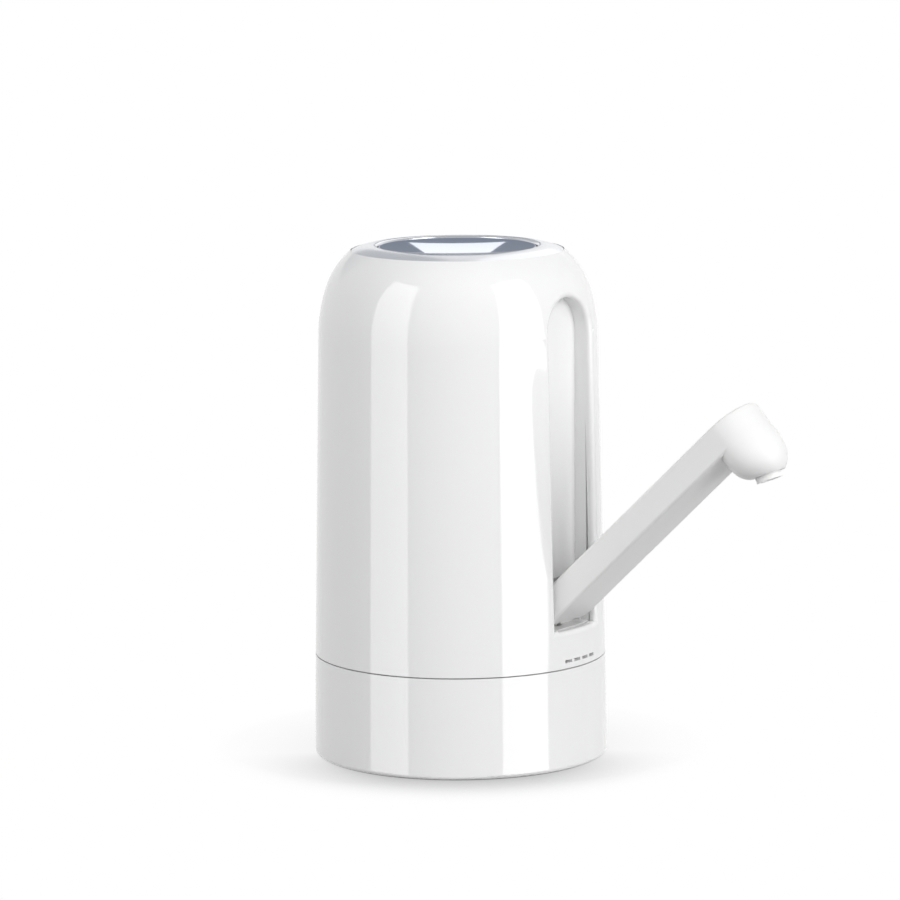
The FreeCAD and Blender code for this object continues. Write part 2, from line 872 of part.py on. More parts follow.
def chassis_plate():
    """Floor of the housing, ceiling of the neck socket, and what the works stand on."""
    body = new_body("chassis_plate")
    outer = collar_top_r - s.case_wall - s.plate_gap
    rim_top = plate_top + s.plate_rim_high
    revolve(
        body,
        [
            (0, s.socket_high),
            (outer, s.socket_high),
            (outer, rim_top),
            (outer - s.plate_rim_thick, rim_top),
            (outer - s.plate_rim_thick, plate_top),
            (0, plate_top),
        ],
    )
    clear = sketch_on(body, "XY_Plane", rim_top)
    seats = sketch_on(body, "XY_Plane", plate_top)
    holes = sketch_on(body, "XY_Plane", housing_foot)
    for x, y, _ in case_screw_spots():
        draw_circle(clear, x, y, s.boss_r + s.plate_gap)
        draw_circle(seats, x, y, s.screw_seat_r)
        draw_circle(holes, x, y, s.screw_hole_r)
    pocket(body, clear, s.plate_rim_high)
    pad(body, seats, housing_foot - plate_top)
    pocket(body, holes, housing_foot)
    ears = pump_reach - s.cradle_wall
    cradle = sketch_on(body, "XY_Plane", plate_top)
    draw_circle(cradle, s.pump_x, pump_y, ears)
    draw_circle(cradle, s.pump_x, pump_y, pump_reach)
    pad(body, cradle, s.pump_cradle_high)
    cup = sketch_on(body, "XY_Plane", plate_top)
    draw_circle(cup, s.battery_x, s.battery_y, s.battery_r + s.cradle_gap)
    draw_circle(cup, s.battery_x, s.battery_y, s.battery_r + s.cradle_gap + s.cradle_wall)
    pad(body, cup, s.battery_cradle_high)
    posts = sketch_on(body, "XY_Plane", plate_top)
    draw_circle(posts, s.post_a_x, s.post_a_y, s.post_r)
    draw_circle(posts, s.post_b_x, s.post_b_y, s.post_r)
    pad(body, posts, retainer_z - plate_top)
    pilots = sketch_on(body, "XY_Plane", retainer_z)
    draw_circle(pilots, s.post_a_x, s.post_a_y, screw_hole)
    draw_circle(pilots, s.post_b_x, s.post_b_y, screw_hole)
    pocket(body, pilots, s.pilot_deep)
    tower = sketch_on(body, "XY_Plane", plate_top)
    draw_circle(tower, s.vent_x, s.vent_y, s.vent_bore_r + s.vent_wall)
    pad(body, tower, s.vent_high)
    ports = sketch_on(body, "XY_Plane", plate_top + s.vent_high)
    draw_circle(ports, s.vent_x, s.vent_y, s.vent_bore_r)
    draw_circle(ports, inlet_x, inlet_y, s.inlet_neck_r + s.inlet_play)
    pocket(body, ports, plate_top + s.vent_high)
    return body


def recess_outline(sketch, grow=0):
    """The recess seen from the front: round at the top, small corners at the sill."""
    half, top, sill = recess_half + grow, recess_top + grow, recess_sill - grow
    corner = s.recess_corner_r
    return draw_outline(
        sketch,
        [
            ccw(-half + corner, sill, corner),
            (half - corner, sill),
            ccw(half, sill + corner, corner),
            (half, top - half),
            ccw(0, top, half),
            ccw(-half, top - half, half),
            (-half, sill + corner),
        ],
    )


def housing():
    """Outer shell with the recess for the arm moulded into its front."""
    body = new_body("housing")
    wall = s.case_wall
    ledge_meets = crown_radius(ledge_under, s.crown_arc_r - wall)
    inner_mid_r = shoulder_mid_r - wall * cosine(s.shoulder_turn)
    inner_mid_z = shoulder_mid_z - wall * sine(s.shoulder_turn)
    revolve(
        body,
        [
            (foot_r - wall, housing_foot),
            (foot_r, housing_foot),
            (shoulder_r, shoulder_z),
            ccw(shoulder_mid_r, shoulder_mid_z, s.shoulder_arc_r),
            ccw(mouth_r, mouth_z, s.crown_arc_r),
            (mouth_r, ledge_z),
            (ledge_r, ledge_z),
            (ledge_r, ledge_under),
            (ledge_meets, ledge_under),
            cw(inner_mid_r, inner_mid_z, s.crown_arc_r - wall),
            cw(shoulder_r - wall, shoulder_z, s.shoulder_arc_r - wall),
        ],
    )
    channel_x = recess_floor_x - s.recess_wall
    channel = recess_outline(sketch_on(body, "YZ_Plane", channel_x), s.recess_wall)
    pad(body, channel, recess_reach - channel_x)
    bulge_r = pocket_r + s.recess_wall
    bulge = draw_outline(
        sketch_on(body, "XZ_Plane"),
        [
            (hinge_x, hinge_z + bulge_r),
            ccw(hinge_x - bulge_r, hinge_z, bulge_r),
            ccw(hinge_x, hinge_z - bulge_r, bulge_r),
        ],
    )
    pad(body, bulge, (recess_half + s.recess_wall) * 2, both_ways=True)
    bosses = sketch_on(body, "XY_Plane", housing_foot)
    pilots = sketch_on(body, "XY_Plane", housing_foot)
    for x, y, _ in case_screw_spots():
        draw_circle(bosses, x, y, s.boss_r)
        draw_circle(pilots, x, y, s.pilot_r)
    pad(body, bosses, s.boss_high)
    deck_bosses = sketch_on(body, "XY_Plane", deck_top)
    deck_pilots = sketch_on(body, "XY_Plane", deck_top)
    for x, y, _ in deck_screw_spots():
        draw_circle(deck_bosses, x, y, s.deck_boss_r)
        draw_circle(deck_pilots, x, y, screw_hole)
    pad(body, deck_bosses, s.deck_drop + s.ledge_thick / 2)
    pocket(body, pilots, s.pilot_deep, reverse=True)
    pocket(body, deck_pilots, s.deck_drop, reverse=True)
    recess = recess_outline(sketch_on(body, "YZ_Plane", recess_floor_x))
    pocket(body, recess, foot_r - recess_floor_x, reverse=True)
    heel = draw_circle(sketch_on(body, "XZ_Plane"), hinge_x, hinge_z, pocket_r)
    heel_room = pocket(body, heel, recess_half * 2, both_ways=True)
    lip = edges_where(heel_room, on_the_lip)
    dress(body, "Fillet", heel_room, lip, s.recess_lip_r)
    sockets = draw_circle(
        sketch_on(body, "XZ_Plane"), hinge_x, hinge_z, s.trunnion_r + s.trunnion_play
    )
    pocket(body, sockets, (recess_half + s.trunnion_hole_deep) * 2, both_ways=True)
    hose_hole = tilted_sketch(body, hinge_x, hinge_z, -open_angle)
    draw_circle(hose_hole, 0, 0, s.hose_hole_r)
    pocket(body, hose_hole, pocket_r + s.recess_wall * 2)
    slits = sketch_on(body, "YZ_Plane", recess_floor_x)
    low, high = slit_z - s.slit_high / 2, slit_z + s.slit_high / 2
    for i in range(int(s.slits.value)):
        middle = s.slit_pitch * (i - (s.slits - 1) / 2)
        draw_outline(slits, box_corners(middle - s.slit_long / 2, middle + s.slit_long / 2, low, high))
    pocket(body, slits, foot_r - recess_floor_x, reverse=True)
    usb = sketch_on(body, "YZ_Plane", -tongue_x)
    half = s.usb_wide / 2 + s.usb_hole_play
    low = board_z - s.usb_high - s.usb_hole_play
    draw_outline(usb, box_corners(-half, half, low, board_z + s.usb_hole_play))
    pocket(body, usb, foot_r - tongue_x)
    return body


def on_the_lip(edge):
    """True for an edge where the recess leaves the outer skin."""
    for point in (edge.valueAt(edge.FirstParameter), edge.valueAt(edge.LastParameter)):
        if not on_the_skin(point):
            return False
    half, top = recess_half.value, recess_top.value
    box = edge.BoundBox
    inside = box.YMax < half + CLOSE and box.YMin > -half - CLOSE and box.ZMax < top + CLOSE
    proud = box.XMin > (recess_floor_x + s.recess_lip_r / 2).value
    return inside and proud and box.ZMin > recess_sill.value - CLOSE


def on_the_skin(point):
    """True for a point on the housing's outer surface."""
    radius = math.hypot(point.x, point.y)
    if point.z <= shoulder_z.value:
        rise = (point.z - housing_foot.value) / (shoulder_z.value - housing_foot.value)
        skin = foot_r.value + (shoulder_r.value - foot_r.value) * rise
    elif point.z <= shoulder_mid_z.value:
        centre = shoulder_r.value - s.shoulder_arc_r.value
        skin = centre + math.sqrt(s.shoulder_arc_r.value**2 - (point.z - shoulder_z.value) ** 2)
    else:
        skin = crown_r.value + math.sqrt(s.crown_arc_r.value**2 - (point.z - crown_z.value) ** 2)
    return abs(radius - skin) < NEAR


def tilted_sketch(body, x, z, angle):
    """A sketch across a line in the XZ plane: the line passes (x, z), angle below +X."""
    sketch = sketch_on(body, "YZ_Plane")
    sketch.AttachmentOffset = Placement(Vector(), Rotation(Vector(1, 0, 0), size(angle).value))
    bind(sketch, "AttachmentOffset.Base.y", z)
    bind(sketch, "AttachmentOffset.Base.z", x)
    bind(sketch, "AttachmentOffset.Rotation.Angle", angle)
    return sketch


def case_screws():
    ring = case_screw_spots()
    spots = [(x, y, screw_head_z) for x, y, _ in ring]
    return screws(
        "case_screws", spots, s.screw_head_r, s.screw_head_thick, s.screw_shank_r, s.screw_long
    )


# ---------------------------------------------------------------- spout arm


def spout_arm():
    """Open-backed arm with its bullet-shaped nozzle head, drawn upright and then opened."""
    body = new_body("spout_arm")
    half, front = s.arm_half, s.arm_thick / 2
    back = s.cover_thick - front
    bar = draw_outline(
        sketch_on(body, "XZ_Plane"),
        [
            (-front, arm_foot + s.heel_r),
            ccw(s.heel_r - front, arm_foot, s.heel_r),
            (front - s.heel_r, arm_foot),
            ccw(front, arm_foot + s.heel_r, s.heel_r),
            (front, s.arm_long + half),
            (-front, s.arm_long + half),
        ],
    )
    pad(body, bar, half * 2, both_ways=True)
    ends = rounded_end(sketch_on(body, "YZ_Plane", -front), half)
    blunt = pocket(body, ends, s.arm_thick, reverse=True)
    dress(body, "Fillet", blunt, edges_where(blunt, along_the_arm), s.arm_edge_r)
    base = draw_circle(tilted_sketch(body, front - s.arm_edge_r, s.arm_long, size(0)), 0, 0, half)
    middle_x, middle_z = (front + s.nozzle_long) / 2, (s.arm_long + nozzle_z) / 2
    middle = draw_circle(tilted_sketch(body, middle_x, middle_z, s.nozzle_tilt / 2), 0, 0, s.nozzle_bulge_r)
    rim = draw_circle(tilted_sketch(body, s.nozzle_long, nozzle_z, s.nozzle_tilt), 0, 0, s.nozzle_r)
    head = body.newObject("PartDesign::AdditiveLoft", "nozzle_head")
    head.Profile = base
    head.Sections = [middle, rim]
    seat = sketch_on(body, "YZ_Plane", -front)
    draw_outline(seat, box_corners(-half, half, arm_foot + s.heel_r, cover_end))
    pocket(body, seat, s.cover_thick, reverse=True)
    duct = sketch_on(body, "YZ_Plane", back)
    inner = half - s.arm_wall
    draw_outline(duct, box_corners(-inner, inner, s.duct_rise, duct_end))
    pocket(body, duct, front - back - s.arm_skin_thick, reverse=True)
    hose_way = draw_circle(sketch_on(body, "XY_Plane", arm_foot), 0, 0, s.hose_r + s.hose_play)
    pocket(body, hose_way, tube_end - arm_foot, reverse=True)
    mouth = draw_circle(tilted_sketch(body, s.nozzle_long, nozzle_z, s.nozzle_tilt), 0, 0, s.nozzle_bore_r)
    pocket(body, mouth, s.nozzle_deep)
    throat = draw_circle(tilted_sketch(body, s.nozzle_long, nozzle_z, s.nozzle_tilt), 0, 0, s.hose_bore_r)
    pocket(body, throat, s.nozzle_long / cosine(s.nozzle_tilt))
    passage = draw_circle(sketch_on(body, "XY_Plane", tube_end), 0, 0, s.hose_bore_r)
    pocket(body, passage, nozzle_z + s.nozzle_long * tangent(s.nozzle_tilt) - tube_end, reverse=True)
    root_y = half - s.arm_wall / 2
    for side, backwards in ((root_y, False), (-root_y, True)):
        stub = draw_circle(sketch_on(body, "XZ_Plane", side), 0, 0, s.trunnion_r)
        pad(body, stub, s.arm_wall / 2 + trunnion_long, reverse=backwards)
    return open_arm(body)


def along_the_arm(edge):
    """True for the long outer edges of the arm, heel included."""
    box = edge.BoundBox
    flat = box.YLength < NEAR and abs(abs(box.YMin) - s.arm_half.value) < NEAR
    return flat and (box.ZLength > NEAR or box.ZMax < 0)


def arm_cover():
    """Flat lid that closes the duct in the arm's back."""
    body = new_body("arm_cover")
    half, front = s.arm_half, s.arm_thick / 2
    face = sketch_on(body, "YZ_Plane", -front)
    draw_outline(face, box_corners(-half, half, arm_foot + s.heel_r, cover_end))
    lid = pad(body, face, s.cover_thick)

    def long_edge(edge):
        box = edge.BoundBox
        flat = abs(box.XMax + front.value) < NEAR and box.YLength < NEAR
        return flat and box.ZLength > half.value

    dress(body, "Fillet", lid, edges_where(lid, long_edge), s.arm_edge_r)
    return open_arm(body)


def rounded_end(sketch, half):
    """What is cut from the arm's square end to leave a round one."""
    edge, clear = half + s.arm_wall, s.arm_long + half + s.arm_wall
    return draw_outline(
        sketch,
        [
            cw(half, s.arm_long, half),
            (edge, s.arm_long),
            (edge, clear),
            (-edge, clear),
            (-edge, s.arm_long),
            (-half, s.arm_long),
            cw(0, s.arm_long + half, half),
        ],
    )


def open_arm(thing):
    """Swing a piece of the arm from upright to its open rest about the hinge."""
    place(thing, hinge_x, 0, hinge_z, ACROSS, s.fold_angle)
    return thing


def spout_hose():
    """The stretch of hose that lies in the arm's duct."""
    return open_arm(tube("spout_hose", s.hose_r, s.hose_bore_r, tube_end - s.hose_rise, 0, 0, s.hose_rise))


def hose_bend():
    """The short stretch of hose that bends where the arm folds."""
    long = hinge_bend_start + s.hose_rise
    return open_arm(tube("hose_bend", s.hose_r, s.hose_bore_r, long, 0, 0, -hinge_bend_start))


def nozzle_insert():
    """Outlet ring in the nozzle, standing a little proud of it."""
    body = new_body("nozzle_insert")
    fit = s.nozzle_bore_r - s.hose_play
    deep = s.insert_proud - s.nozzle_deep
    outline = [
        (s.insert_bore_r, deep),
        (fit, deep),
        (fit, deep + s.insert_collar_high),
        (s.insert_r, deep + s.insert_collar_high),
        (s.insert_r, s.insert_proud),
        (s.insert_bore_r, s.insert_proud),
    ]
    revolve(body, outline)
    x = hinge_x + s.nozzle_long * cosine(s.fold_angle) + nozzle_z * sine(s.fold_angle)
    z = hinge_z - s.nozzle_long * sine(s.fold_angle) + nozzle_z * cosine(s.fold_angle)
    place(body, x, 0, z, ACROSS, s.fold_angle + s.nozzle_tilt + RIGHT_ANGLE)
    return body


# ---------------------------------------------------------------- top ring and button


def top_ring():
    """Trim ring that closes the housing and guides the button."""
    body = new_body("top_ring")
    outer_r, edge_z = ring_r, mouth_z - s.ring_edge_drop
    skirt_r = ring_bore_r + s.ring_skirt_thick
    bore_z = ring_crest_z - s.ring_crest_arc_r
    revolve(
        body,
        [
            (outer_r, ledge_z),
            (outer_r, edge_z),
            ccw(ring_bore_r + s.ring_crest_arc_r, ring_crest_z, s.ring_arc_r),
            ccw(ring_bore_r, bore_z, s.ring_crest_arc_r),
            (ring_bore_r, ring_skirt_z),
            (skirt_r, ring_skirt_z),
            (skirt_r, ledge_z),
        ],
    )
    return body


def button_cap():
    """Round push plate with a shallow dish."""
    body = new_body("button_cap")
    edge_r = button_r - s.button_edge_r
    dish_arc = (edge_r * edge_r + s.button_dish_deep * s.button_dish_deep) / (s.button_dish_deep * 2)
    revolve(
        body,
        [
            (0, button_under),
            (button_r, button_under),
            (button_r, button_top - s.button_edge_r),
            ccw(edge_r, button_top, s.button_edge_r),
            cw(0, button_top - s.button_dish_deep, dish_arc),
        ],
    )
    return body


def button_carrier():
    """Moulding under the cap: its flange stops under the ring, its stem works the switch."""
    body = new_body("button_carrier")
    inner = carrier_r - s.carrier_wall
    flange_top = ring_skirt_z - s.flange_gap
    flange_under = flange_top - s.flange_thick
    revolve(
        body,
        [
            (0, stem_foot),
            (s.stem_r, stem_foot),
            (s.stem_r, carrier_under),
            (inner, carrier_under),
            (inner, flange_under),
            (flange_r, flange_under),
            (flange_r, flange_top),
            (carrier_r, flange_top),
            (carrier_r, button_under),
            (0, button_under),
        ],
    )
    return body


def button_deck():
    """Fixed plate under the button: spring seat, stem guide and posts for the board."""
    body = new_body("button_deck")
    guide_bore = s.stem_r + s.stem_gap
    guide_r = guide_bore + s.guide_wall
    revolve(
        body,
        [
            (guide_bore, deck_under),
            (deck_r, deck_under),
            (deck_r, deck_top),
            (guide_r, deck_top),
            (guide_r, deck_top + s.guide_high),
            (guide_bore, deck_top + s.guide_high),
        ],
    )
    posts = sketch_on(body, "XY_Plane", board_top)
    pilots = sketch_on(body, "XY_Plane", board_top)
    for x, y, _ in board_post_spots():
        draw_circle(posts, x, y, s.board_post_r)
        draw_circle(pilots, x, y, screw_hole)
    pad(body, posts, deck_top - board_top)
    pocket(body, pilots, s.small_screw_long, reverse=True)
    holes = sketch_on(body, "XY_Plane", deck_top)
    for x, y, _ in deck_screw_spots():
        draw_circle(holes, x, y, screw_hole)
    pocket(body, holes, s.deck_thick)
    return body


def deck_screws():
    spots = [(x, y, deck_under) for x, y, _ in deck_screw_spots()]
    return small_screws("deck_screws", spots)


def board_screws():
    spots = [(x, y, board_z) for x, y, _ in board_post_spots()]
    return small_screws("board_screws", spots)


def small_screws(label, spots):
    return screws(
        label, spots, s.small_head_r, s.small_head_thick, s.small_screw_r, s.small_screw_long
    )


def button_spring():
    """Compression spring round the stem's guide."""
    high = carrier_under - deck_top - s.spring_wire_r * 2
    pitch = high / s.spring_turns
    coil = Part.makeLongHelix(pitch.value, high.value, s.spring_r.value)
    ring = Part.Wire(Part.makeCircle(s.spring_wire_r.value, Vector(s.spring_r.value, 0, 0), ACROSS))
    wire = Part.Wire(coil.Edges).makePipeShell([ring], True, True)
    piece = doc.addObject("Part::Feature", "button_spring")
    piece.Label = "button_spring"
    piece.Shape = wire
    piece.Placement = Placement(Vector(0, 0, (deck_top + s.spring_wire_r).value), Rotation())
    return piece


# ---------------------------------------------------------------- board, socket and switch


def control_board():
    body = new_body("control_board")
    disc = draw_circle(sketch_on(body, "XY_Plane", board_z), 0, 0, board_r)
    pad(body, disc, s.board_thick)
    tongue = sketch_on(body, "XY_Plane", board_z)
    draw_outline(tongue, box_corners(-tongue_x, -board_r / 2, -s.tongue_half, s.tongue_half))
    pad(body, tongue, s.board_thick)
    holes = sketch_on(body, "XY_Plane", board_top)
    for x, y, _ in board_post_spots():
        draw_circle(holes, x, y, screw_hole)
    pocket(body, holes, s.board_thick)
    return body


def usb_socket():
    """Charging socket under the board's edge, open towards the back of the housing."""
    body = new_body("usb_socket")
    half, low = s.usb_wide / 2, board_z - s.usb_high
    face = sketch_on(body, "YZ_Plane", -usb_face_x)
    draw_outline(face, box_corners(-half, half, low, board_z))
    pad(body, face, s.usb_long)
    mouth = sketch_on(body, "YZ_Plane", -usb_face_x)
    inner = half - s.usb_wall
    draw_outline(mouth, box_corners(-inner, inner, low + s.usb_wall, board_z - s.usb_wall))
    pocket(body, mouth, s.usb_long - s.usb_wall, reverse=True)
    tongue = sketch_on(body, "YZ_Plane", s.usb_wall - usb_face_x)
    middle = board_z - s.usb_high / 2
    half_thick = s.usb_tongue_thick / 2
    draw_outline(
        tongue,
        box_corners(-s.usb_tongue_half, s.usb_tongue_half, middle - half_thick, middle + half_thick),
    )
    pad(body, tongue, s.usb_long - s.usb_wall)
    return body


def switch_body():
    body = new_body("switch_body")
    half = s.switch_wide / 2
    base = draw_outline(sketch_on(body, "XY_Plane", board_top), box_corners(-half, half, -half, half))
    pad(body, base, s.switch_high)
    well = draw_circle(sketch_on(body, "XY_Plane", switch_top), 0, 0, s.plunger_r + s.plunger_play)
    pocket(body, well, s.plunger_deep + s.button_travel + s.plunger_play)
    return body


def switch_plunger():
    long = s.plunger_deep + s.plunger_proud
    return cylinder("switch_plunger", s.plunger_r, long, 0, 0, switch_top - s.plunger_deep)


# ---------------------------------------------------------------- battery and retainer


def battery_cell():
    """Round lithium cell with a raised contact at its top."""
    body = new_body("battery_cell")
    cap_r, cap_high = s.battery_r / 3, s.tab_thick
    shoulder = battery_z + s.battery_long - cap_high
    revolve(
        body,
        [
            (0, battery_z),
            (s.battery_r, battery_z),
            (s.battery_r, shoulder),
            (cap_r, shoulder),
            (cap_r, battery_z + s.battery_long),
            (0, battery_z + s.battery_long),
        ],
    )
    place(body, s.battery_x, s.battery_y)
    return body


def battery_tabs():
    """Nickel strips on the two ends of the cell."""
    strips = []
    for name, level in (("foot", battery_z - s.tab_thick), ("head", battery_z + s.battery_long)):
        strip = doc.addObject("Part::Box", f"tab_{name}")
        bind(strip, "Length", s.tab_wide)
        bind(strip, "Width", s.battery_r + s.tab_wide / 2)
        bind(strip, "Height", s.tab_thick)
        place(strip, s.battery_x - s.tab_wide / 2, s.battery_y - s.battery_r, level)
        strips.append(strip)
    return group("battery_tabs", strips)


def retainer_plate():
    """Bridge on the chassis posts that holds down the cell and the motor."""
    body = new_body("retainer_plate")
    wall = s.cradle_wall
    cell_r = s.battery_r + s.cradle_gap
    motor_r = s.motor_r + s.cradle_gap
    left, right = s.post_a_x - s.retainer_edge, s.post_b_x + s.retainer_edge
    plate = sketch_on(body, "XY_Plane", retainer_z)
    draw_outline(plate, box_corners(left, right, pump_y + s.motor_r, s.battery_y - s.battery_r))
    pad(body, plate, s.retainer_thick)
    for x, y, radius, foot in (
        (s.battery_x, s.battery_y, cell_r, retainer_z - s.retainer_lap),
        (s.pump_x, pump_y, motor_r, motor_top - s.retainer_lap),
    ):
        cup = draw_circle(sketch_on(body, "XY_Plane", foot), x, y, radius + wall)
        pad(body, cup, retainer_z + s.retainer_thick - foot)
        hollow = draw_circle(sketch_on(body, "XY_Plane", foot), x, y, radius)
        pocket(body, hollow, retainer_z - foot, reverse=True)
    holes = sketch_on(body, "XY_Plane", retainer_z + s.retainer_thick)
    draw_circle(holes, s.post_a_x, s.post_a_y, screw_hole)
    draw_circle(holes, s.post_b_x, s.post_b_y, screw_hole)
    draw_circle(holes, s.pump_x, pump_y, s.motor_cap_boss_r)
    lead_hole = s.lead_r + s.lead_hole_play
    for x, y, _ in motor_lead_spots():
        draw_circle(holes, x, y, lead_hole)
    draw_circle(holes, s.battery_x, s.battery_y - s.cell_lead_y, lead_hole)
    pocket(body, holes, s.retainer_thick)
    beside = sketch_on(body, "XY_Plane", retainer_z + s.retainer_thick)
    draw_circle(beside, s.battery_x, cell_side_y, lead_hole)
    pocket(body, beside, s.retainer_thick + s.retainer_lap)
    return body


def retainer_screws():
    """Two screws, heads up, in the tops of the posts."""
    made = []
    top = retainer_z + s.retainer_thick
    for name, x, y in (("a", s.post_a_x, s.post_a_y), ("b", s.post_b_x, s.post_b_y)):
        head = cylinder(f"retainer_head_{name}", s.small_head_r, s.small_head_thick, x, y, top)
        foot = top - s.small_screw_long
        shank = cylinder(f"retainer_shank_{name}", s.small_screw_r, s.small_screw_long, x, y, foot)
        made.append(fuse(f"retainer_screw_{name}", head, shank))
    return group("retainer_screws", made)


# ---------------------------------------------------------------- pump


def on_the_pump(thing):
    """Stand a piece on the pump's axis, its +X towards the outlet."""
    place(thing, s.pump_x, pump_y, 0, UP, s.pump_turn)
    return thing


def pump_section(label, low, thick):
    """A round slice of the pump with the four ears that its long screws pass."""
    body = new_body(label)
    disc = draw_circle(sketch_on(body, "XY_Plane", low), 0, 0, pump_r)
    pad(body, disc, thick)
    ears = sketch_on(body, "XY_Plane", low)
    holes = sketch_on(body, "XY_Plane", low + thick)
    for x, y, _ in pump_ear_spots():
        draw_circle(ears, x, y, s.pump_ear_r)
        draw_circle(holes, x, y, screw_hole)
    pad(body, ears, thick)
    pocket(body, holes, thick)
    return body


def inlet_spigot():
    """Pipe end for the intake hose, with a neck that enters the pump's cover."""
    body = new_body("inlet_spigot")
    flange = s.socket_high - s.inlet_flange_thick
    tip = flange - s.inlet_pipe_long
    revolve(
        body,
        [
            (s.inlet_bore_r, tip),
            (s.inlet_pipe_r - s.inlet_tip_taper, tip),
            (s.inlet_pipe_r, tip + s.inlet_tip_long),
            (s.inlet_pipe_r, flange),
            (s.inlet_flange_r, flange),
            (s.inlet_flange_r, s.socket_high),
            (s.inlet_neck_r, s.socket_high),
            (s.inlet_neck_r, s.socket_high + s.inlet_neck_high),
            (s.inlet_bore_r, s.socket_high + s.inlet_neck_high),
        ],
    )
    place(body, inlet_x, inlet_y)
    return body


def inlet_o_ring():
    ring = doc.addObject("Part::Torus", "inlet_o_ring")
    ring.Label = "inlet_o_ring"
    bind(ring, "Radius2", s.o_ring_thick / 2)
    bind(ring, "Radius1", s.inlet_neck_r + s.o_ring_thick / 2 + s.inlet_play / 2)
    place(ring, inlet_x, inlet_y, plate_top + s.o_ring_thick / 2)
    return ring


def pump_cover():
    """Valve cover: the inlet fills its outer chamber, the outlet leaves its middle one."""
    body = pump_section("pump_cover", plate_top, s.cover_high)
    floor = plate_top + s.cover_wall
    middle_r = s.outlet_chamber_r + s.outlet_wall
    chamber = sketch_on(body, "XY_Plane", valve_z)
    draw_circle(chamber, 0, 0, pump_r - s.cover_wall)
    draw_circle(chamber, 0, 0, middle_r)
    pocket(body, chamber, valve_z - floor)
    outward = draw_circle(sketch_on(body, "YZ_Plane"), 0, port_z, s.port_tube_r)
    pad(body, outward, pump_r)
    nipple = draw_circle(sketch_on(body, "YZ_Plane"), 0, port_z, s.nipple_r)
    pad(body, nipple, pump_r + s.nipple_long)
    well = draw_circle(sketch_on(body, "XY_Plane", valve_z), 0, 0, s.outlet_chamber_r)
    pocket(body, well, valve_z - floor)
    bore = draw_circle(sketch_on(body, "YZ_Plane"), 0, port_z, s.nipple_bore_r)
    pocket(body, bore, pump_r + s.nipple_long, reverse=True)
    inlet_at = s.inlet_ring_r * cosine(s.inlet_angle), s.inlet_ring_r * sine(s.inlet_angle)
    port = draw_circle(sketch_on(body, "XY_Plane", floor), *inlet_at, s.inlet_neck_r + s.inlet_play)
    pocket(body, port, s.cover_wall)
    seat_r = s.inlet_neck_r + s.o_ring_thick + s.inlet_play
    seat = draw_circle(sketch_on(body, "XY_Plane", plate_top), *inlet_at, seat_r)
    pocket(body, seat, s.o_ring_thick + s.inlet_play, reverse=True)
    return on_the_pump(body)


def valve_spots():
    """Centres of the three inlet valves, under the cups."""
    return [(x, y) for x, y, _ in round_the_ring(s.cups, s.cup_ring_r, s.cup_start)]


def valve_plate():
    """Plate with the ports of the three inlet valves and of the outlet valve."""
    body = pump_section("valve_plate", valve_z, s.valve_plate_thick)
    ports = sketch_on(body, "XY_Plane", diaphragm_z)
    for x, y in [(size(0), size(0)), *valve_spots()]:
        draw_circle(ports, x, y, s.valve_stem_r + s.seal_gap)
        for dx, dy, _ in round_the_ring(s.valve_ports, s.valve_port_ring_r):
            draw_circle(ports, x + dx, y + dy, s.valve_port_r)
    pocket(body, ports, s.valve_plate_thick)
    return on_the_pump(body)


def valve(label, x, y, upward):
    """Umbrella valve: a thin disc on a stem that fills the plate's hole."""
    disc_z = diaphragm_z if upward else valve_z - s.valve_thick
    disc = cylinder(f"{label}_disc", s.valve_r, s.valve_thick, x, y, disc_z)
    stem = cylinder(f"{label}_stem", s.valve_stem_r, s.valve_plate_thick, x, y, valve_z)
    return fuse(label, disc, stem)


def inlet_valves():
    made = [valve(f"inlet_valve_{i}", x, y, True) for i, (x, y) in enumerate(valve_spots())]
    return on_the_pump(group("inlet_valves", made))


def outlet_valve():
    return on_the_pump(valve("outlet_valve", 0, 0, False))


def diaphragm():
    """Rubber sheet with three cups, each drawn up and pushed down by its stem."""
    body = pump_section("diaphragm", diaphragm_z, s.diaphragm_thick)
    cups = sketch_on(body, "XY_Plane", pump_body_z)
    hollows = sketch_on(body, "XY_Plane", diaphragm_z)
    stems = sketch_on(body, "XY_Plane", cup_top)
    knobs = sketch_on(body, "XY_Plane", cup_top + s.cup_stem_high)
    for x, y in valve_spots():
        draw_circle(cups, x, y, s.cup_r)
        draw_circle(hollows, x, y, s.cup_r - s.cup_wall)
        draw_circle(stems, x, y, s.cup_stem_r)
        draw_circle(knobs, x, y, s.cup_knob_r)
    pad(body, cups, s.cup_high)
    pocket(body, hollows, cup_top - diaphragm_z - s.cup_wall, reverse=True)
    pad(body, stems, s.cup_stem_high)
    pad(body, knobs, s.cup_knob_high)
    return on_the_pump(body)


def pump_body():
    """Housing of the crank, with a bore for each cup and a flange for the motor."""
    body = pump_section("pump_body", pump_body_z, s.pump_body_high)
    room_z = pump_body_z + s.pump_body_floor_thick
    flange_z = motor_z - s.pump_flange_thick
    groove(
        body,
        [
            (0, room_z),
            (pump_r - s.pump_body_wall, room_z),
            (pump_r - s.pump_body_wall, flange_z),
            (0, flange_z),
        ],
    )
    bores = sketch_on(body, "XY_Plane", room_z)
    for x, y in valve_spots():
        draw_circle(bores, x, y, s.cup_r + s.cup_gap)
    pocket(body, bores, s.pump_body_floor_thick)
    eye = draw_circle(sketch_on(body, "XY_Plane", motor_z), 0, 0, s.eccentric_r + s.cup_gap)
    pocket(body, eye, s.pump_flange_thick)
    return on_the_pump(body)


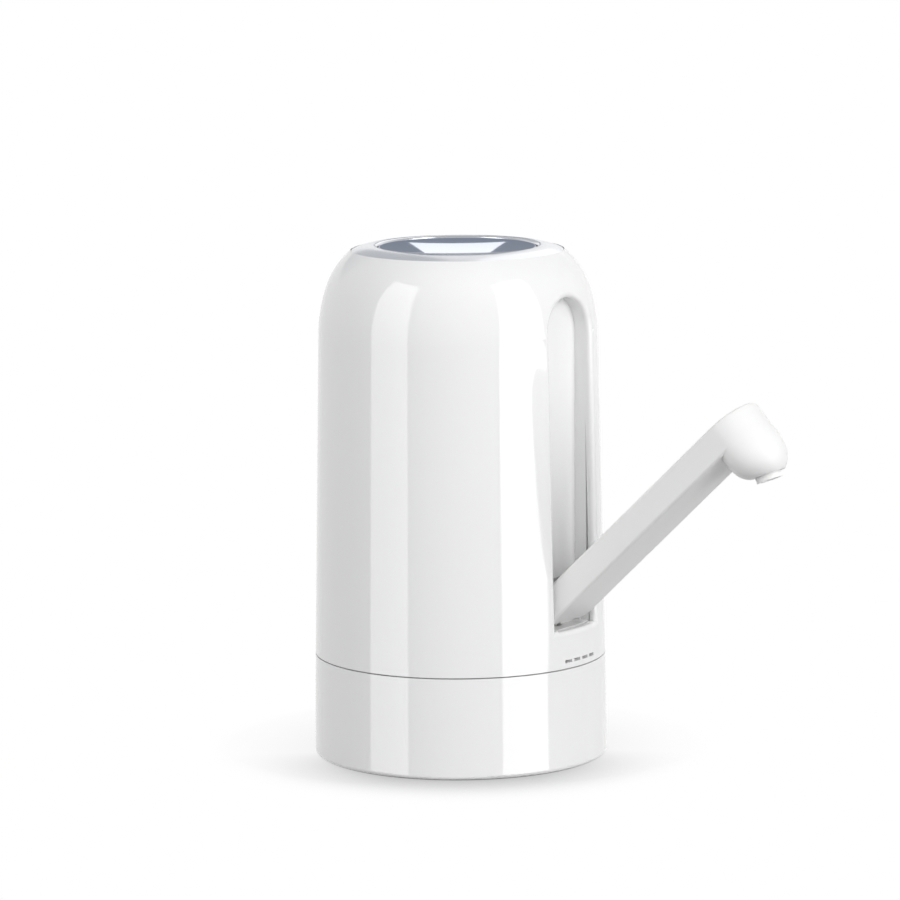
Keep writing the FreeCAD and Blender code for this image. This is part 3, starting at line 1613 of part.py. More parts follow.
def pump_screws():
    """Four long screws, heads up, through the ears of every slice."""
    made = []
    foot = plate_top + s.cover_wall
    for i, (x, y, _) in enumerate(pump_ear_spots()):
        head = cylinder(f"pump_screw_head{i}", s.small_head_r, s.small_head_thick, x, y, motor_z)
        shank = cylinder(f"pump_screw_shank{i}", s.small_screw_r, motor_z - foot, x, y, foot)
        made.append(fuse(f"pump_screw_{i}", head, shank))
    return on_the_pump(group("pump_screws", made))


def wobble_plate():
    """Three-armed plate that rocks on the crank pin and works the diaphragm's stems."""
    body = new_body("wobble_plate")
    half = s.wobble_thick / 2
    hub = draw_circle(sketch_on(body, "XY_Plane", -half), 0, 0, s.wobble_hub_r)
    pad(body, hub, s.wobble_thick + s.wobble_hub_high)
    for x, y, angle in round_the_ring(s.cups, s.cup_ring_r, s.pump_turn + s.cup_start):
        eye = draw_circle(sketch_on(body, "XY_Plane", -half), x, y, s.wobble_eye_r)
        pad(body, eye, s.wobble_thick)
        side_x, side_y = sine(angle) * s.wobble_arm_wide / 2, cosine(angle) * s.wobble_arm_wide / 2
        arm = draw_outline(
            sketch_on(body, "XY_Plane", -half),
            [(side_x, -side_y), (x + side_x, y - side_y), (x - side_x, y + side_y), (-side_x, side_y)],
        )
        pad(body, arm, s.wobble_thick)
    eyes = sketch_on(body, "XY_Plane", half)
    for x, y, _ in round_the_ring(s.cups, s.cup_ring_r, s.pump_turn + s.cup_start):
        draw_circle(eyes, x, y, s.wobble_eye_bore_r)
    pocket(body, eyes, s.wobble_thick)
    socket = draw_circle(
        sketch_on(body, "XY_Plane", half + s.wobble_hub_high), 0, 0, s.crank_pin_r + s.crank_play
    )
    pocket(body, socket, half + s.wobble_hub_high)
    return on_the_crank(body)


def on_the_crank(thing):
    """Tilt a piece with the crank pin about the centre of the wobble plate."""
    place(thing, s.pump_x, pump_y, wobble_z, ACROSS, s.wobble_tilt)
    return thing


def crank_pin():
    return on_the_crank(cylinder("crank_pin", s.crank_pin_r, s.crank_pin_long, 0, 0, s.crank_pin_rise))


def eccentric():
    """Disc on the motor's shaft, with the slanted hole that holds the crank pin."""
    disc = cylinder("eccentric_disc", s.eccentric_r, s.eccentric_high, s.pump_x, pump_y, eccentric_z)
    shaft_z = eccentric_z + s.eccentric_high - s.eccentric_shaft_deep
    shaft = cylinder(
        "eccentric_bore", s.shaft_r + s.shaft_play / 2, s.eccentric_high, s.pump_x, pump_y, shaft_z
    )
    pin = cylinder(
        "eccentric_slant", s.crank_pin_r + s.shaft_play / 2, s.crank_pin_long, 0, 0, s.crank_pin_rise
    )
    return cut("eccentric", cut("eccentric_bored", disc, shaft), on_the_crank(pin))


# ---------------------------------------------------------------- motor


def motor_can():
    """Drawn steel can, closed at the pump's end but for the bush."""
    body = new_body("motor_can")
    bush = s.bush_r + s.shaft_play
    inner = s.motor_r - s.motor_wall
    revolve(
        body,
        [
            (bush, motor_z),
            (s.motor_r, motor_z),
            (s.motor_r, motor_top),
            (inner, motor_top),
            (inner, motor_z + s.motor_wall),
            (bush + s.motor_wall, motor_z + s.motor_wall),
            (bush + s.motor_wall, motor_z + s.bush_long),
            (bush, motor_z + s.bush_long),
        ],
    )
    return on_the_pump(body)


def motor_end_cap():
    """Plastic end of the motor, with the seat of the upper bush."""
    body = new_body("motor_end_cap")
    plug_r = s.motor_r - s.motor_wall - s.motor_play
    bush = s.bush_r + s.shaft_play
    top = motor_top + s.motor_cap_thick
    revolve(
        body,
        [
            (bush, motor_top - s.motor_cap_plug_long),
            (plug_r, motor_top - s.motor_cap_plug_long),
            (plug_r, motor_top),
            (s.motor_r, motor_top),
            (s.motor_r, top),
            (s.motor_cap_boss_r, top),
            (s.motor_cap_boss_r, top + s.motor_cap_boss_high),
            (bush, top + s.motor_cap_boss_high),
        ],
    )
    return on_the_pump(body)


def motor_bushes():
    bore = s.shaft_r + s.shaft_play
    upper = motor_top + s.motor_cap_thick + s.motor_cap_boss_high - s.bush_long
    rings = [
        tube("lower_bush", s.bush_r, bore, s.bush_long, 0, 0, motor_z),
        tube("upper_bush", s.bush_r, bore, s.bush_long, 0, 0, upper),
    ]
    return on_the_pump(group("motor_bushes", rings))


def motor_shaft():
    low = eccentric_z + s.eccentric_high - s.eccentric_shaft_deep
    high = motor_top + s.motor_cap_thick + s.motor_cap_boss_high + s.shaft_tail_long
    return on_the_pump(cylinder("motor_shaft", s.shaft_r, high - low, 0, 0, low))


def field_magnets():
    """Two curved magnets inside the can."""
    outer = s.motor_r - s.motor_wall - s.motor_play
    long = s.rotor_long + s.magnet_over * 2
    made = []
    for i in range(2):
        arcs = []
        for name, radius in (("out", outer), ("in", outer - s.magnet_thick)):
            arc = cylinder(f"magnet_{name}{i}", radius, long, 0, 0, magnet_z)
            bind(arc, "Angle", s.magnet_angle)
            arcs.append(arc)
        magnet = cut(f"magnet_{i}", *arcs)
        place(magnet, 0, 0, 0, UP, HALF_TURN * size(i) - s.magnet_angle / 2)
        made.append(magnet)
    return on_the_pump(group("field_magnets", made))


def rotor_core():
    """Laminated three-pole core pressed on the shaft."""
    body = new_body("rotor_core")
    disc = draw_circle(sketch_on(body, "XY_Plane", rotor_z), 0, 0, s.rotor_r)
    pad(body, disc, s.rotor_long)
    bore = draw_circle(sketch_on(body, "XY_Plane", rotor_top), 0, 0, s.shaft_r + s.shaft_play / 2)
    pocket(body, bore, s.rotor_long)
    for x, y, angle in round_the_ring(s.rotor_poles, s.rotor_slot_ring_r):
        hole = draw_circle(sketch_on(body, "XY_Plane", rotor_top), x, y, s.rotor_slot_r)
        pocket(body, hole, s.rotor_long)
        side_x, side_y = sine(angle) * s.rotor_slot_wide / 2, cosine(angle) * s.rotor_slot_wide / 2
        reach = s.rotor_r + s.rotor_slot_wide
        out_x, out_y = cosine(angle) * reach, sine(angle) * reach
        mouth = draw_outline(
            sketch_on(body, "XY_Plane", rotor_top),
            [
                (x + side_x, y - side_y),
                (out_x + side_x, out_y - side_y),
                (out_x - side_x, out_y + side_y),
                (x - side_x, y + side_y),
            ],
        )
        pocket(body, mouth, s.rotor_long)
    return on_the_pump(body)


def commutator():
    bore = s.shaft_r + s.shaft_play / 2
    return on_the_pump(tube("commutator", s.commutator_r, bore, s.commutator_long, 0, 0, commutator_z))


def motor_brushes():
    """Two brushes on arms that hang from the end cap."""
    made = []
    low = commutator_z + s.commutator_long / 4
    inner = s.commutator_r + s.brush_play
    cap_z = motor_top - s.motor_cap_plug_long
    for i in range(2):
        block = doc.addObject("Part::Box", f"brush_block{i}")
        bind(block, "Length", s.brush_long)
        bind(block, "Height", s.brush_high)
        arm = doc.addObject("Part::Box", f"brush_arm{i}")
        bind(arm, "Length", s.motor_wall)
        bind(arm, "Height", cap_z - low)
        place(block, inner, -s.brush_wide / 2, low)
        place(arm, inner + s.brush_long - s.motor_wall, -s.brush_wide / 2, low)
        for box in (block, arm):
            bind(box, "Width", s.brush_wide)
        brush = fuse(f"brush_{i}", block, arm)
        place(brush, 0, 0, 0, UP, HALF_TURN * size(i))
        made.append(brush)
    return on_the_pump(group("motor_brushes", made))


def rotor_windings():
    """Copper bundles through the core's slots, joined by a ring at each end."""
    body = new_body("rotor_windings")
    wire_r = s.rotor_slot_r - s.winding_gap
    bundles = sketch_on(body, "XY_Plane", winding_foot)
    for x, y, _ in round_the_ring(s.rotor_poles, s.rotor_slot_ring_r):
        draw_circle(bundles, x, y, wire_r)
    for level, way in ((winding_foot, False), (winding_top, True)):
        ring = sketch_on(body, "XY_Plane", level)
        draw_circle(ring, 0, 0, s.rotor_slot_ring_r + wire_r - s.winding_step)
        draw_circle(ring, 0, 0, s.rotor_slot_ring_r - wire_r + s.winding_step)
        pad(body, ring, s.winding_high, reverse=way)
        if level is winding_foot:
            pad(body, bundles, winding_top - winding_foot)
    return on_the_pump(body)


# ---------------------------------------------------------------- wires and chips


def lead(label, start, end_x, end_y):
    """A wire that rises from its start, swings aside in two arcs and rises to the board."""
    foot = Vector(*(part.value for part in start))
    head = Vector(end_x.value, end_y.value, (board_z - s.lead_gap).value)
    low = Vector(foot.x, foot.y, (retainer_z + s.retainer_thick).value)
    high = head - UP * s.lead_end_long.value
    aside = Vector(high.x - low.x, high.y - low.y, 0)
    rise = high.z - low.z
    swing = 2 * math.atan2(aside.Length, rise)
    radius = rise / (2 * math.sin(swing))
    along = aside.normalize() * radius * (1 - math.cos(swing / 2)) + UP * radius * math.sin(swing / 2)
    middle = (low + high) * 0.5
    path = [
        Part.LineSegment(foot, low).toShape(),
        Part.Arc(low, low + along, middle).toShape(),
        Part.Arc(middle, high - along, high).toShape(),
        Part.LineSegment(high, head).toShape(),
    ]
    wire = doc.addObject("Part::Feature", label)
    wire.Label = label
    wire.Shape = Part.Wire(path).makePipeShell([section(path[0], s.lead_r.value)], True, False)
    return wire


def motor_leads():
    """Two wires from the motor's end cap to the board."""
    foot = motor_top + s.motor_cap_thick + s.lead_gap
    made = []
    for i, (x, y, way) in enumerate(motor_lead_spots()):
        made.append(lead(f"motor_lead_{i}", (x, y, foot), x + s.lead_swing_x * way, y + s.lead_swing_y))
    return group("motor_leads", made)


def battery_leads():
    """Two wires from the cell to the board, one of them up the cell's side."""
    above = battery_z + s.battery_long + s.tab_thick + s.lead_gap
    beside = plate_top + s.battery_cradle_high + s.cradle_gap
    starts = [(s.battery_y - s.cell_lead_y, above, -1), (cell_side_y, beside, 1)]
    made = []
    for i, (y, foot, way) in enumerate(starts):
        end_x, end_y = s.battery_x + s.lead_swing_x * way, y - s.lead_swing_y
        made.append(lead(f"battery_lead_{i}", (s.battery_x, y, foot), end_x, end_y))
    return group("battery_leads", made)


def chip(label, x, y, long, wide, high):
    """A moulded component that lies on the board."""
    block = doc.addObject("Part::Box", label)
    block.Label = label
    for side, number in (("Length", long), ("Width", wide), ("Height", high)):
        bind(block, side, number)
    place(block, x - long / 2, y - wide / 2, board_top)
    return block


def charge_chip():
    return chip("charge_chip", s.chip_x, s.chip_y, s.chip_long, s.chip_wide, s.chip_high)


def motor_transistor():
    x, y = s.transistor_x, s.transistor_y
    return chip("motor_transistor", x, y, s.transistor_long, s.transistor_wide, s.transistor_high)


# ---------------------------------------------------------------- water hose


def outlet_hose():
    """Hose from the pump's outlet to the back of the recess, with one bend."""
    start = Vector(s.pump_x.value, pump_y.value, port_z.value)
    corner = Vector(elbow_x.value, 0, port_z.value)
    hinge = Vector(hinge_x.value, 0, hinge_z.value)
    first = (corner - start).normalize()
    second = (hinge - corner).normalize()
    start = start + first * (pump_r + s.cradle_gap).value
    end = hinge - second * hinge_bend_start.value
    half_turn = first.getAngle(second) / 2
    setback = s.hose_bend_r.value * math.tan(half_turn)
    arc_start, arc_end = corner - first * setback, corner + second * setback
    inward = (second - first).normalize()
    centre = corner + inward * (s.hose_bend_r.value / math.cos(half_turn))
    arc_middle = centre - inward * s.hose_bend_r.value
    path = [
        Part.LineSegment(start, arc_start).toShape(),
        Part.Arc(arc_start, arc_middle, arc_end).toShape(),
        Part.LineSegment(arc_end, end).toShape(),
    ]
    return hose("outlet_hose", path, s.hose_r.value, s.hose_bore_r.value)


def hose_clip():
    """Spring clip round the hose where it sits on the pump's outlet."""
    outer = s.hose_r + s.seal_gap + s.clip_thick
    ring = doc.addObject("Part::Feature", "hose_clip")
    ring.Label = "hose_clip"
    wall = Part.makeCylinder(outer.value, s.clip_wide.value)
    hole = Part.makeCylinder((s.hose_r + s.seal_gap).value, s.clip_wide.value)
    ring.Shape = wall.cut(hole)
    turned = Rotation(UP, s.pump_turn.value).multiply(Rotation(ACROSS, RIGHT_ANGLE))
    reach = (pump_r + s.nipple_long / 2).value
    along = Rotation(UP, s.pump_turn.value).multVec(Vector(reach, 0, 0))
    ring.Placement = Placement(Vector(s.pump_x.value, pump_y.value, port_z.value) + along, turned)
    return ring


# ---------------------------------------------------------------- build, check and write


def check(pieces):
    """Stop if anything failed to compute or came out broken."""
    doc.recompute()
    bad = [f"{o.Label} is {o.State}" for o in doc.Objects if {"Invalid", "Error"} & set(o.State)]
    for piece in pieces:
        if piece.Shape.isNull() or not piece.Shape.isValid() or piece.Shape.Volume <= 0:
            bad.append(f"{piece.Label} has no valid shape")
    if bad:
        raise SystemExit("\n".join(bad))


makers = [
    base_collar, neck_seal, chassis_plate, housing, case_screws,
    spout_arm, arm_cover, spout_hose, hose_bend, nozzle_insert,
    top_ring, button_cap, button_carrier, button_deck, button_spring,
    control_board, usb_socket, switch_body, switch_plunger,
    battery_cell, battery_tabs, retainer_plate, retainer_screws,
    inlet_spigot, inlet_o_ring, pump_cover, valve_plate, inlet_valves, outlet_valve,
    diaphragm, pump_body, pump_screws, wobble_plate, crank_pin, eccentric,
    motor_can, motor_end_cap, motor_bushes, motor_shaft, field_magnets,
    rotor_core, commutator, motor_brushes, outlet_hose, hose_clip,
    deck_screws, board_screws, rotor_windings, motor_leads, battery_leads,
    charge_chip, motor_transistor,
]
parts = [make() for make in makers]
check(parts)
os.makedirs("parts", exist_ok=True)
for part in parts:
    part.Shape.exportStep(f"parts/{part.Label}.step")
print(len(parts), "sub-parts written")
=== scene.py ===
import bpy
import json
import math
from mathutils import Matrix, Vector


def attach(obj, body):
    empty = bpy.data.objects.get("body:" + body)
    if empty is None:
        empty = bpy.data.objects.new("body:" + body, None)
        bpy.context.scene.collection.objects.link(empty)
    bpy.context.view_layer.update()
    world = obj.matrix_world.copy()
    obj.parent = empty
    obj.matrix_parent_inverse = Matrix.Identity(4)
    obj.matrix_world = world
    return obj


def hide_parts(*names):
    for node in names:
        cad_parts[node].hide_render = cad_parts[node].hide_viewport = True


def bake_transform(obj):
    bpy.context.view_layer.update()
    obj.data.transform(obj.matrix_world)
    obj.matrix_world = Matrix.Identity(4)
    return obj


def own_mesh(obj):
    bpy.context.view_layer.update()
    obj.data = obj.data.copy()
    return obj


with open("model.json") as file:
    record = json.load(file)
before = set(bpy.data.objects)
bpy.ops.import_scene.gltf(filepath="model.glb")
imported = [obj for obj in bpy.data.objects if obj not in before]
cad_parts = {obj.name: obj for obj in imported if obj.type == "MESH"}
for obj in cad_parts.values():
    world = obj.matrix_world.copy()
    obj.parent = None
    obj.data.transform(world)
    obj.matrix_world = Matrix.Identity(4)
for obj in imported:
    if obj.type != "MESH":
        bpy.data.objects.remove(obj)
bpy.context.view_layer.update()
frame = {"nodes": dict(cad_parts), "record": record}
bpy.ops.object.select_all(action="DESELECT")
nodes = frame["nodes"]
mm = 0.001
print("frame loaded,", len(nodes), "nodes")


# small helpers for node trees

def newMaterial(name):
    material = bpy.data.materials.new(name)
    material.use_nodes = True
    tree = material.node_tree
    shader = tree.nodes["Principled BSDF"]
    return material, tree, shader


def addNode(tree, kind, **settings):
    node = tree.nodes.new(kind)
    for key, value in settings.items():
        setattr(node, key, value)
    return node


def objectCoords(tree):
    return addNode(tree, "ShaderNodeTexCoord").outputs["Object"]


def noise(tree, size, detail):
    # size is how big a blotch is, in metres
    texture = addNode(tree, "ShaderNodeTexNoise")
    texture.inputs["Scale"].default_value = 1 / size
    texture.inputs["Detail"].default_value = detail
    tree.links.new(objectCoords(tree), texture.inputs["Vector"])
    return texture.outputs["Fac"]


def remap(tree, source, start, end, low, high, easing="LINEAR"):
    # where the source goes from start to end, the result goes from low to high
    ramp = addNode(tree, "ShaderNodeMapRange", interpolation_type=easing)
    ramp.inputs["From Min"].default_value = start
    ramp.inputs["From Max"].default_value = end
    ramp.inputs["To Min"].default_value = low
    ramp.inputs["To Max"].default_value = high
    tree.links.new(source, ramp.inputs["Value"])
    return ramp.outputs["Result"]


def tint(tree, source, colorA, colorB):
    mix = addNode(tree, "ShaderNodeMix", data_type="RGBA")
    mix.inputs["A"].default_value = (*colorA, 1)
    mix.inputs["B"].default_value = (*colorB, 1)
    tree.links.new(source, mix.inputs["Factor"])
    return mix.outputs["Result"]


def bump(tree, shader, source, height):
    # height in metres
    node = addNode(tree, "ShaderNodeBump")
    node.inputs["Strength"].default_value = 1.0
    node.inputs["Distance"].default_value = height
    tree.links.new(source, node.inputs["Height"])
    tree.links.new(node.outputs["Normal"], shader.inputs["Normal"])


def mixShaders(tree, share, first, second):
    # share 0 shows the first shader, 1 the second
    mix = addNode(tree, "ShaderNodeMixShader")
    tree.links.new(share, mix.inputs[0])
    tree.links.new(first, mix.inputs[1])
    tree.links.new(second, mix.inputs[2])
    return mix.outputs[0]


def dotWith(tree, source, direction):
    product = addNode(tree, "ShaderNodeVectorMath", operation="DOT_PRODUCT")
    product.inputs[1].default_value = direction
    tree.links.new(source, product.inputs[0])
    return product.outputs["Value"]


# finishes, one for each material slot

surface = {
    "blotch": 0.012,        # width in metres of a patch that is slightly darker
    "blotchDetail": 3.0,
    "smudge": 0.0072,       # and of one that is slightly rougher
    "smudgeDetail": 4.0,
    "grain": 0.0006,        # width of one grain in a textured moulding
    "grainDetail": 2.0,
    "noiseLow": 0.3,        # the part of the noise's range that the roughness follows
    "noiseHigh": 0.7,
}


def finish(name, color, roughness, metallic=0.0, shade=0.03, grainHeight=0.0,
           gloss=0.5, uneven=0.15):
    # one base for every finish: colour and roughness drift slightly over the piece
    material, tree, shader = newMaterial(name)
    drift = noise(tree, surface["blotch"], surface["blotchDetail"])
    darker = [c * (1 - shade) for c in color]
    tree.links.new(tint(tree, drift, darker, color), shader.inputs["Base Color"])
    smudge = noise(tree, surface["smudge"], surface["smudgeDetail"])
    rough = remap(tree, smudge, surface["noiseLow"], surface["noiseHigh"],
                  roughness * (1 - uneven), roughness * (1 + uneven))
    tree.links.new(rough, shader.inputs["Roughness"])
    shader.inputs["Metallic"].default_value = metallic
    shader.inputs["Specular IOR Level"].default_value = gloss
    if grainHeight:
        grain = noise(tree, surface["grain"], surface["grainDetail"])
        bump(tree, shader, grain, grainHeight)
    return material


finishes = {
    "case_plastic": finish("whiteGloss", (0.86, 0.86, 0.86), 0.06, shade=0.01, gloss=0.75,
                           uneven=0.04),
    "arm_plastic": finish("whiteSatin", (0.85, 0.85, 0.845), 0.32, shade=0.01, gloss=0.3,
                          uneven=0.03),
    "ring_metal": finish("ringSatin", (0.80, 0.81, 0.84), 0.2, metallic=1.0, shade=0.02),
    "button_metal": finish("buttonPolished", (0.72, 0.77, 0.86), 0.04, metallic=1.0),
    "button_plastic": finish("carrierPlastic", (0.62, 0.62, 0.63), 0.45),
    "inner_plastic": finish("innerPlastic", (0.70, 0.70, 0.69), 0.5, grainHeight=0.00001),
    "pump_plastic": finish("pumpPlastic", (0.72, 0.72, 0.68), 0.4),
    "crank_plastic": finish("crankPlastic", (0.6, 0.6, 0.57), 0.42),
    "nozzle_plastic": finish("nozzlePlastic", (0.9, 0.9, 0.89), 0.3, shade=0.015, gloss=0.3),
    "seal_rubber": finish("sealSilicone", (0.70, 0.70, 0.67), 0.5),
    "valve_rubber": finish("valveRubber", (0.02, 0.02, 0.02), 0.6),
    "hose_rubber": finish("hoseSilicone", (0.66, 0.66, 0.63), 0.35),
    "screw_steel": finish("screwZinc", (0.55, 0.55, 0.56), 0.35, metallic=1.0),
    "spring_steel": finish("springWire", (0.58, 0.58, 0.59), 0.3, metallic=1.0),
    "board_laminate": finish("boardMask", (0.01, 0.12, 0.04), 0.35),
    "socket_steel": finish("socketTin", (0.62, 0.62, 0.62), 0.3, metallic=1.0),
    "switch_plastic": finish("switchBlack", (0.02, 0.02, 0.02), 0.45),
    "battery_wrap": finish("batteryWrap", (0.02, 0.1, 0.3), 0.3),
    "tab_nickel": finish("tabNickel", (0.6, 0.58, 0.54), 0.35, metallic=1.0),
    "shaft_steel": finish("shaftGround", (0.55, 0.55, 0.56), 0.25, metallic=1.0),
    "can_steel": finish("canDrawn", (0.5, 0.5, 0.51), 0.38, metallic=1.0),
    "cap_plastic": finish("capNylon", (0.03, 0.03, 0.03), 0.5),
    "bush_bronze": finish("bushBronze", (0.5, 0.32, 0.12), 0.5, metallic=1.0),
    "magnet_ferrite": finish("magnetFerrite", (0.03, 0.03, 0.032), 0.7),
    "core_steel": finish("coreSheet", (0.35, 0.35, 0.36), 0.45, metallic=1.0),
    "commutator_copper": finish("commutatorCopper", (0.7, 0.3, 0.16), 0.35, metallic=1.0),
    "brush_metal": finish("brushBronze", (0.5, 0.36, 0.16), 0.4, metallic=1.0),
    "winding_copper": finish("windingEnamel", (0.55, 0.17, 0.05), 0.3, metallic=1.0, shade=0.15),
    "lead_insulation": finish("leadInsulation", (0.5, 0.02, 0.015), 0.4, shade=0.05),
    "chip_plastic": finish("chipEpoxy", (0.015, 0.015, 0.016), 0.55, shade=0.1),
}
for entry in frame["record"]["subparts"]:
    nodes[entry["node"]].data.materials.clear()
    nodes[entry["node"]].data.materials.append(finishes[entry["material_slot"]])
print("finishes on", len(nodes), "nodes")


# welded copies of solids, for the pieces whose mesh has to change

weld = {
    "distance": 0.00001,                # in metres: corners this close become one
    "smoothAngle": math.radians(40),    # steeper edges stay sharp
}


def weldedCopy(piece):
    original = nodes[piece["node"]]
    copy = original.copy()
    copy.data = original.data.copy()
    copy.name = piece["name"]
    copy.parent = None
    copy.matrix_world = original.matrix_world.copy()
    bpy.context.scene.collection.objects.link(copy)
    bpy.context.view_layer.objects.active = copy
    copy.select_set(True)
    bpy.ops.mesh.customdata_custom_splitnormals_clear()
    bpy.ops.object.mode_set(mode="EDIT")
    bpy.ops.mesh.select_all(action="SELECT")
    bpy.ops.mesh.remove_doubles(threshold=weld["distance"])
    bpy.ops.object.mode_set(mode="OBJECT")
    bpy.ops.object.shade_smooth_by_angle(angle=weld["smoothAngle"])
    copy.select_set(False)
    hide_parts(piece["node"])
    return copy


# the spring, which shortens under the button: a welded copy on its own mesh, held by the case

buttonSpring = {
    "node": "button_spring",
    "name": "springCoil",
    "travel": 0.9 * mm,       # how far the button goes down on it
}
springCopy = weldedCopy(buttonSpring)
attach(springCopy, "case")
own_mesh(springCopy)

# the hose, which bends where the arm is hinged: a welded copy with its placement baked into the
# mesh

hingeHose = {
    "node": "hose_bend",
    "name": "hingeHose",
    "lowEnd": (27.5 * mm, 0, 36.4 * mm),      # still held by the housing
    "highEnd": (34.0 * mm, 0, 42.5 * mm),     # already held by the arm
}
hoseCopy = weldedCopy(hingeHose)
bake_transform(hoseCopy)


# the arm, with the chin of its head drawn towards the tip

armHead = {
    "node": "spout_arm",
    "name": "roundedArm",
    "hinge": Vector((32.9, 0, 41.5)) * mm,
    "lean": math.radians(47),           # of the open arm, from upright
    "draw": 2.7 * mm,                   # how far the chin moves along the arm
    "stillUntil": 28.5 * mm,            # along the arm from the hinge: nothing moves before this
    "chinStart": 57 * mm,
    "chinEnd": 73 * mm,
    "frontFrom": 0.5 * mm,              # across the arm, from its middle to the nozzle's rim
    "frontFull": 3.0 * mm,
    "rimFrom": 4.5 * mm,
    "rimFull": 12.0 * mm,
}


def easeStep(value, start, end):
    share = min(max((value - start) / (end - start), 0), 1)
    return share * share * (3 - 2 * share)


def drawChin(piece, shape):
    along = Vector((math.sin(shape["lean"]), 0, math.cos(shape["lean"])))
    outward = Vector((math.cos(shape["lean"]), 0, -math.sin(shape["lean"])))
    for vertex in piece.data.vertices:
        offset = vertex.co - shape["hinge"]
        reach, depth = offset.dot(along), offset.dot(outward)
        if reach < shape["stillUntil"]:
            continue
        share = 1 - easeStep(reach, shape["chinStart"], shape["chinEnd"])
        share *= easeStep(depth, shape["frontFrom"], shape["frontFull"])
        share *= 1 - easeStep(depth, shape["rimFrom"], shape["rimFull"])
        vertex.co += along * shape["draw"] * share


headCopy = weldedCopy(armHead)
drawChin(headCopy, armHead)
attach(headCopy, "spout")
print("arm head rounded")


# the camera, which the floor and the lights are placed by

camera = {
    "azimuth": 34.8,                    # degrees round from the front, towards the arm
    "elevation": 9.76,
    "distance": 1.2133,
    "target": Vector((0, 0, 0.06)),
    "aimRight": -0.00224,               # how far beside the target it looks
    "aimUp": 0.01657,
    "lens": 192.62,
    "sensor": 36,
    "roll": -0.457,
}


def levelDirection(azimuth):
    # level, and azimuth degrees round from the front
    turn = math.radians(azimuth)
    return Vector((math.sin(turn), -math.cos(turn), 0))


def makeCamera():
    turn = math.radians(camera["azimuth"])
    rise = math.radians(camera["elevation"])
    back = Vector((math.sin(turn) * math.cos(rise),
                   -math.cos(turn) * math.cos(rise),
                   math.sin(rise)))
    spot = camera["target"] + back * camera["distance"]
    right = Vector((math.cos(turn), math.sin(turn), 0))
    aim = camera["target"] + right * camera["aimRight"] + Vector((0, 0, camera["aimUp"]))
    data = bpy.data.cameras.new("viewCamera")
    data.lens = camera["lens"]
    data.sensor_width = camera["sensor"]
    viewer = bpy.data.objects.new("viewCamera", data)
    bpy.context.scene.collection.objects.link(viewer)
    viewer.location = spot
    viewer.rotation_euler = (aim - spot).to_track_quat("-Z", "Y").to_euler()
    viewer.rotation_euler.rotate_axis("Z", math.radians(camera["roll"]))
    bpy.context.scene.camera = viewer


# floor

paperFloor = {
    "size": 6.0,
    "color": (0.36, 0.36, 0.36),    # what it throws back on to the object
    "roughness": 0.9,
    "shown": 0.3,                   # how strongly the camera sees the lit floor
    "lift": 0.7,                    # and the even white under it
    "paintedShadowReach": 0.024,          # how far from the foot the painted shadow reaches
    "paintedShadowSamples": 16,
    "paleFrom": 0.042,              # from here outwards the floor fades to plain white
    "paleTo": 0.066,
    "sidePale": 0.82,               # how much of the floor's shading, lit and painted, is gone beside the foot
    "sideFrom": 0.1,                # 0 is beside the foot, 1 is straight before it
    "sideTo": 0.9,
}


def makeFloor():
    bpy.ops.mesh.primitive_plane_add(size=paperFloor["size"], location=(0, 0, 0))
    floor = bpy.context.object
    floor.name = "floor"
    material, tree, shader = newMaterial("floorPaper")
    shader.inputs["Base Color"].default_value = (*paperFloor["color"], 1)
    shader.inputs["Roughness"].default_value = paperFloor["roughness"]
    shader.inputs["Specular IOR Level"].default_value = 0.0

    # the camera sees the lit floor over an even white, and both carry a painted contact shadow
    # at the foot
    paintedContactShadow = addNode(tree, "ShaderNodeAmbientOcclusion", samples=paperFloor["paintedShadowSamples"])
    paintedContactShadow.inputs["Distance"].default_value = paperFloor["paintedShadowReach"]
    lit = addNode(tree, "ShaderNodeBsdfDiffuse")
    shown = tint(tree, paintedContactShadow.outputs["AO"], (0, 0, 0), [paperFloor["shown"]] * 3)
    tree.links.new(shown, lit.inputs["Color"])
    # the even white under it carries the same painted shadow
    lift = addNode(tree, "ShaderNodeEmission")
    lift.inputs["Strength"].default_value = paperFloor["lift"]
    tree.links.new(paintedContactShadow.outputs["Color"], lift.inputs["Color"])
    lifted = addNode(tree, "ShaderNodeAddShader")
    tree.links.new(lit.outputs[0], lifted.inputs[0])
    tree.links.new(lift.outputs[0], lifted.inputs[1])

    # farther out it is plain white
    away = addNode(tree, "ShaderNodeVectorMath", operation="LENGTH")
    tree.links.new(objectCoords(tree), away.inputs[0])
    farPale = remap(tree, away.outputs["Value"], paperFloor["paleFrom"], paperFloor["paleTo"],
                    0.0, 1.0, easing="SMOOTHSTEP")

    # the floor's shading, lit and painted, is strongest before the foot and thin beside it
    outward = addNode(tree, "ShaderNodeVectorMath", operation="NORMALIZE")
    tree.links.new(objectCoords(tree), outward.inputs[0])
    before = dotWith(tree, outward.outputs["Vector"], levelDirection(camera["azimuth"]))
    sidePale = remap(tree, before, paperFloor["sideFrom"], paperFloor["sideTo"],
                     paperFloor["sidePale"], 0.0)
    paler = addNode(tree, "ShaderNodeMath", operation="MAXIMUM")
    tree.links.new(farPale, paler.inputs[0])
    tree.links.new(sidePale, paler.inputs[1])
    white = addNode(tree, "ShaderNodeEmission")
    faded = mixShaders(tree, paler.outputs["Value"], lifted.outputs[0], white.outputs[0])

    # other rays meet plain grey paper, and mirrors look through it
    rays = addNode(tree, "ShaderNodeLightPath")
    seen = mixShaders(tree, rays.outputs["Is Camera Ray"], shader.outputs[0], faded)
    clear = addNode(tree, "ShaderNodeBsdfTransparent")
    through = mixShaders(tree, rays.outputs["Is Glossy Ray"], seen, clear.outputs[0])
    tree.links.new(through, tree.nodes["Material Output"].inputs["Surface"])
    floor.data.materials.append(material)


# the room: the camera sees white, mirrors see a pale back and a dimmer front

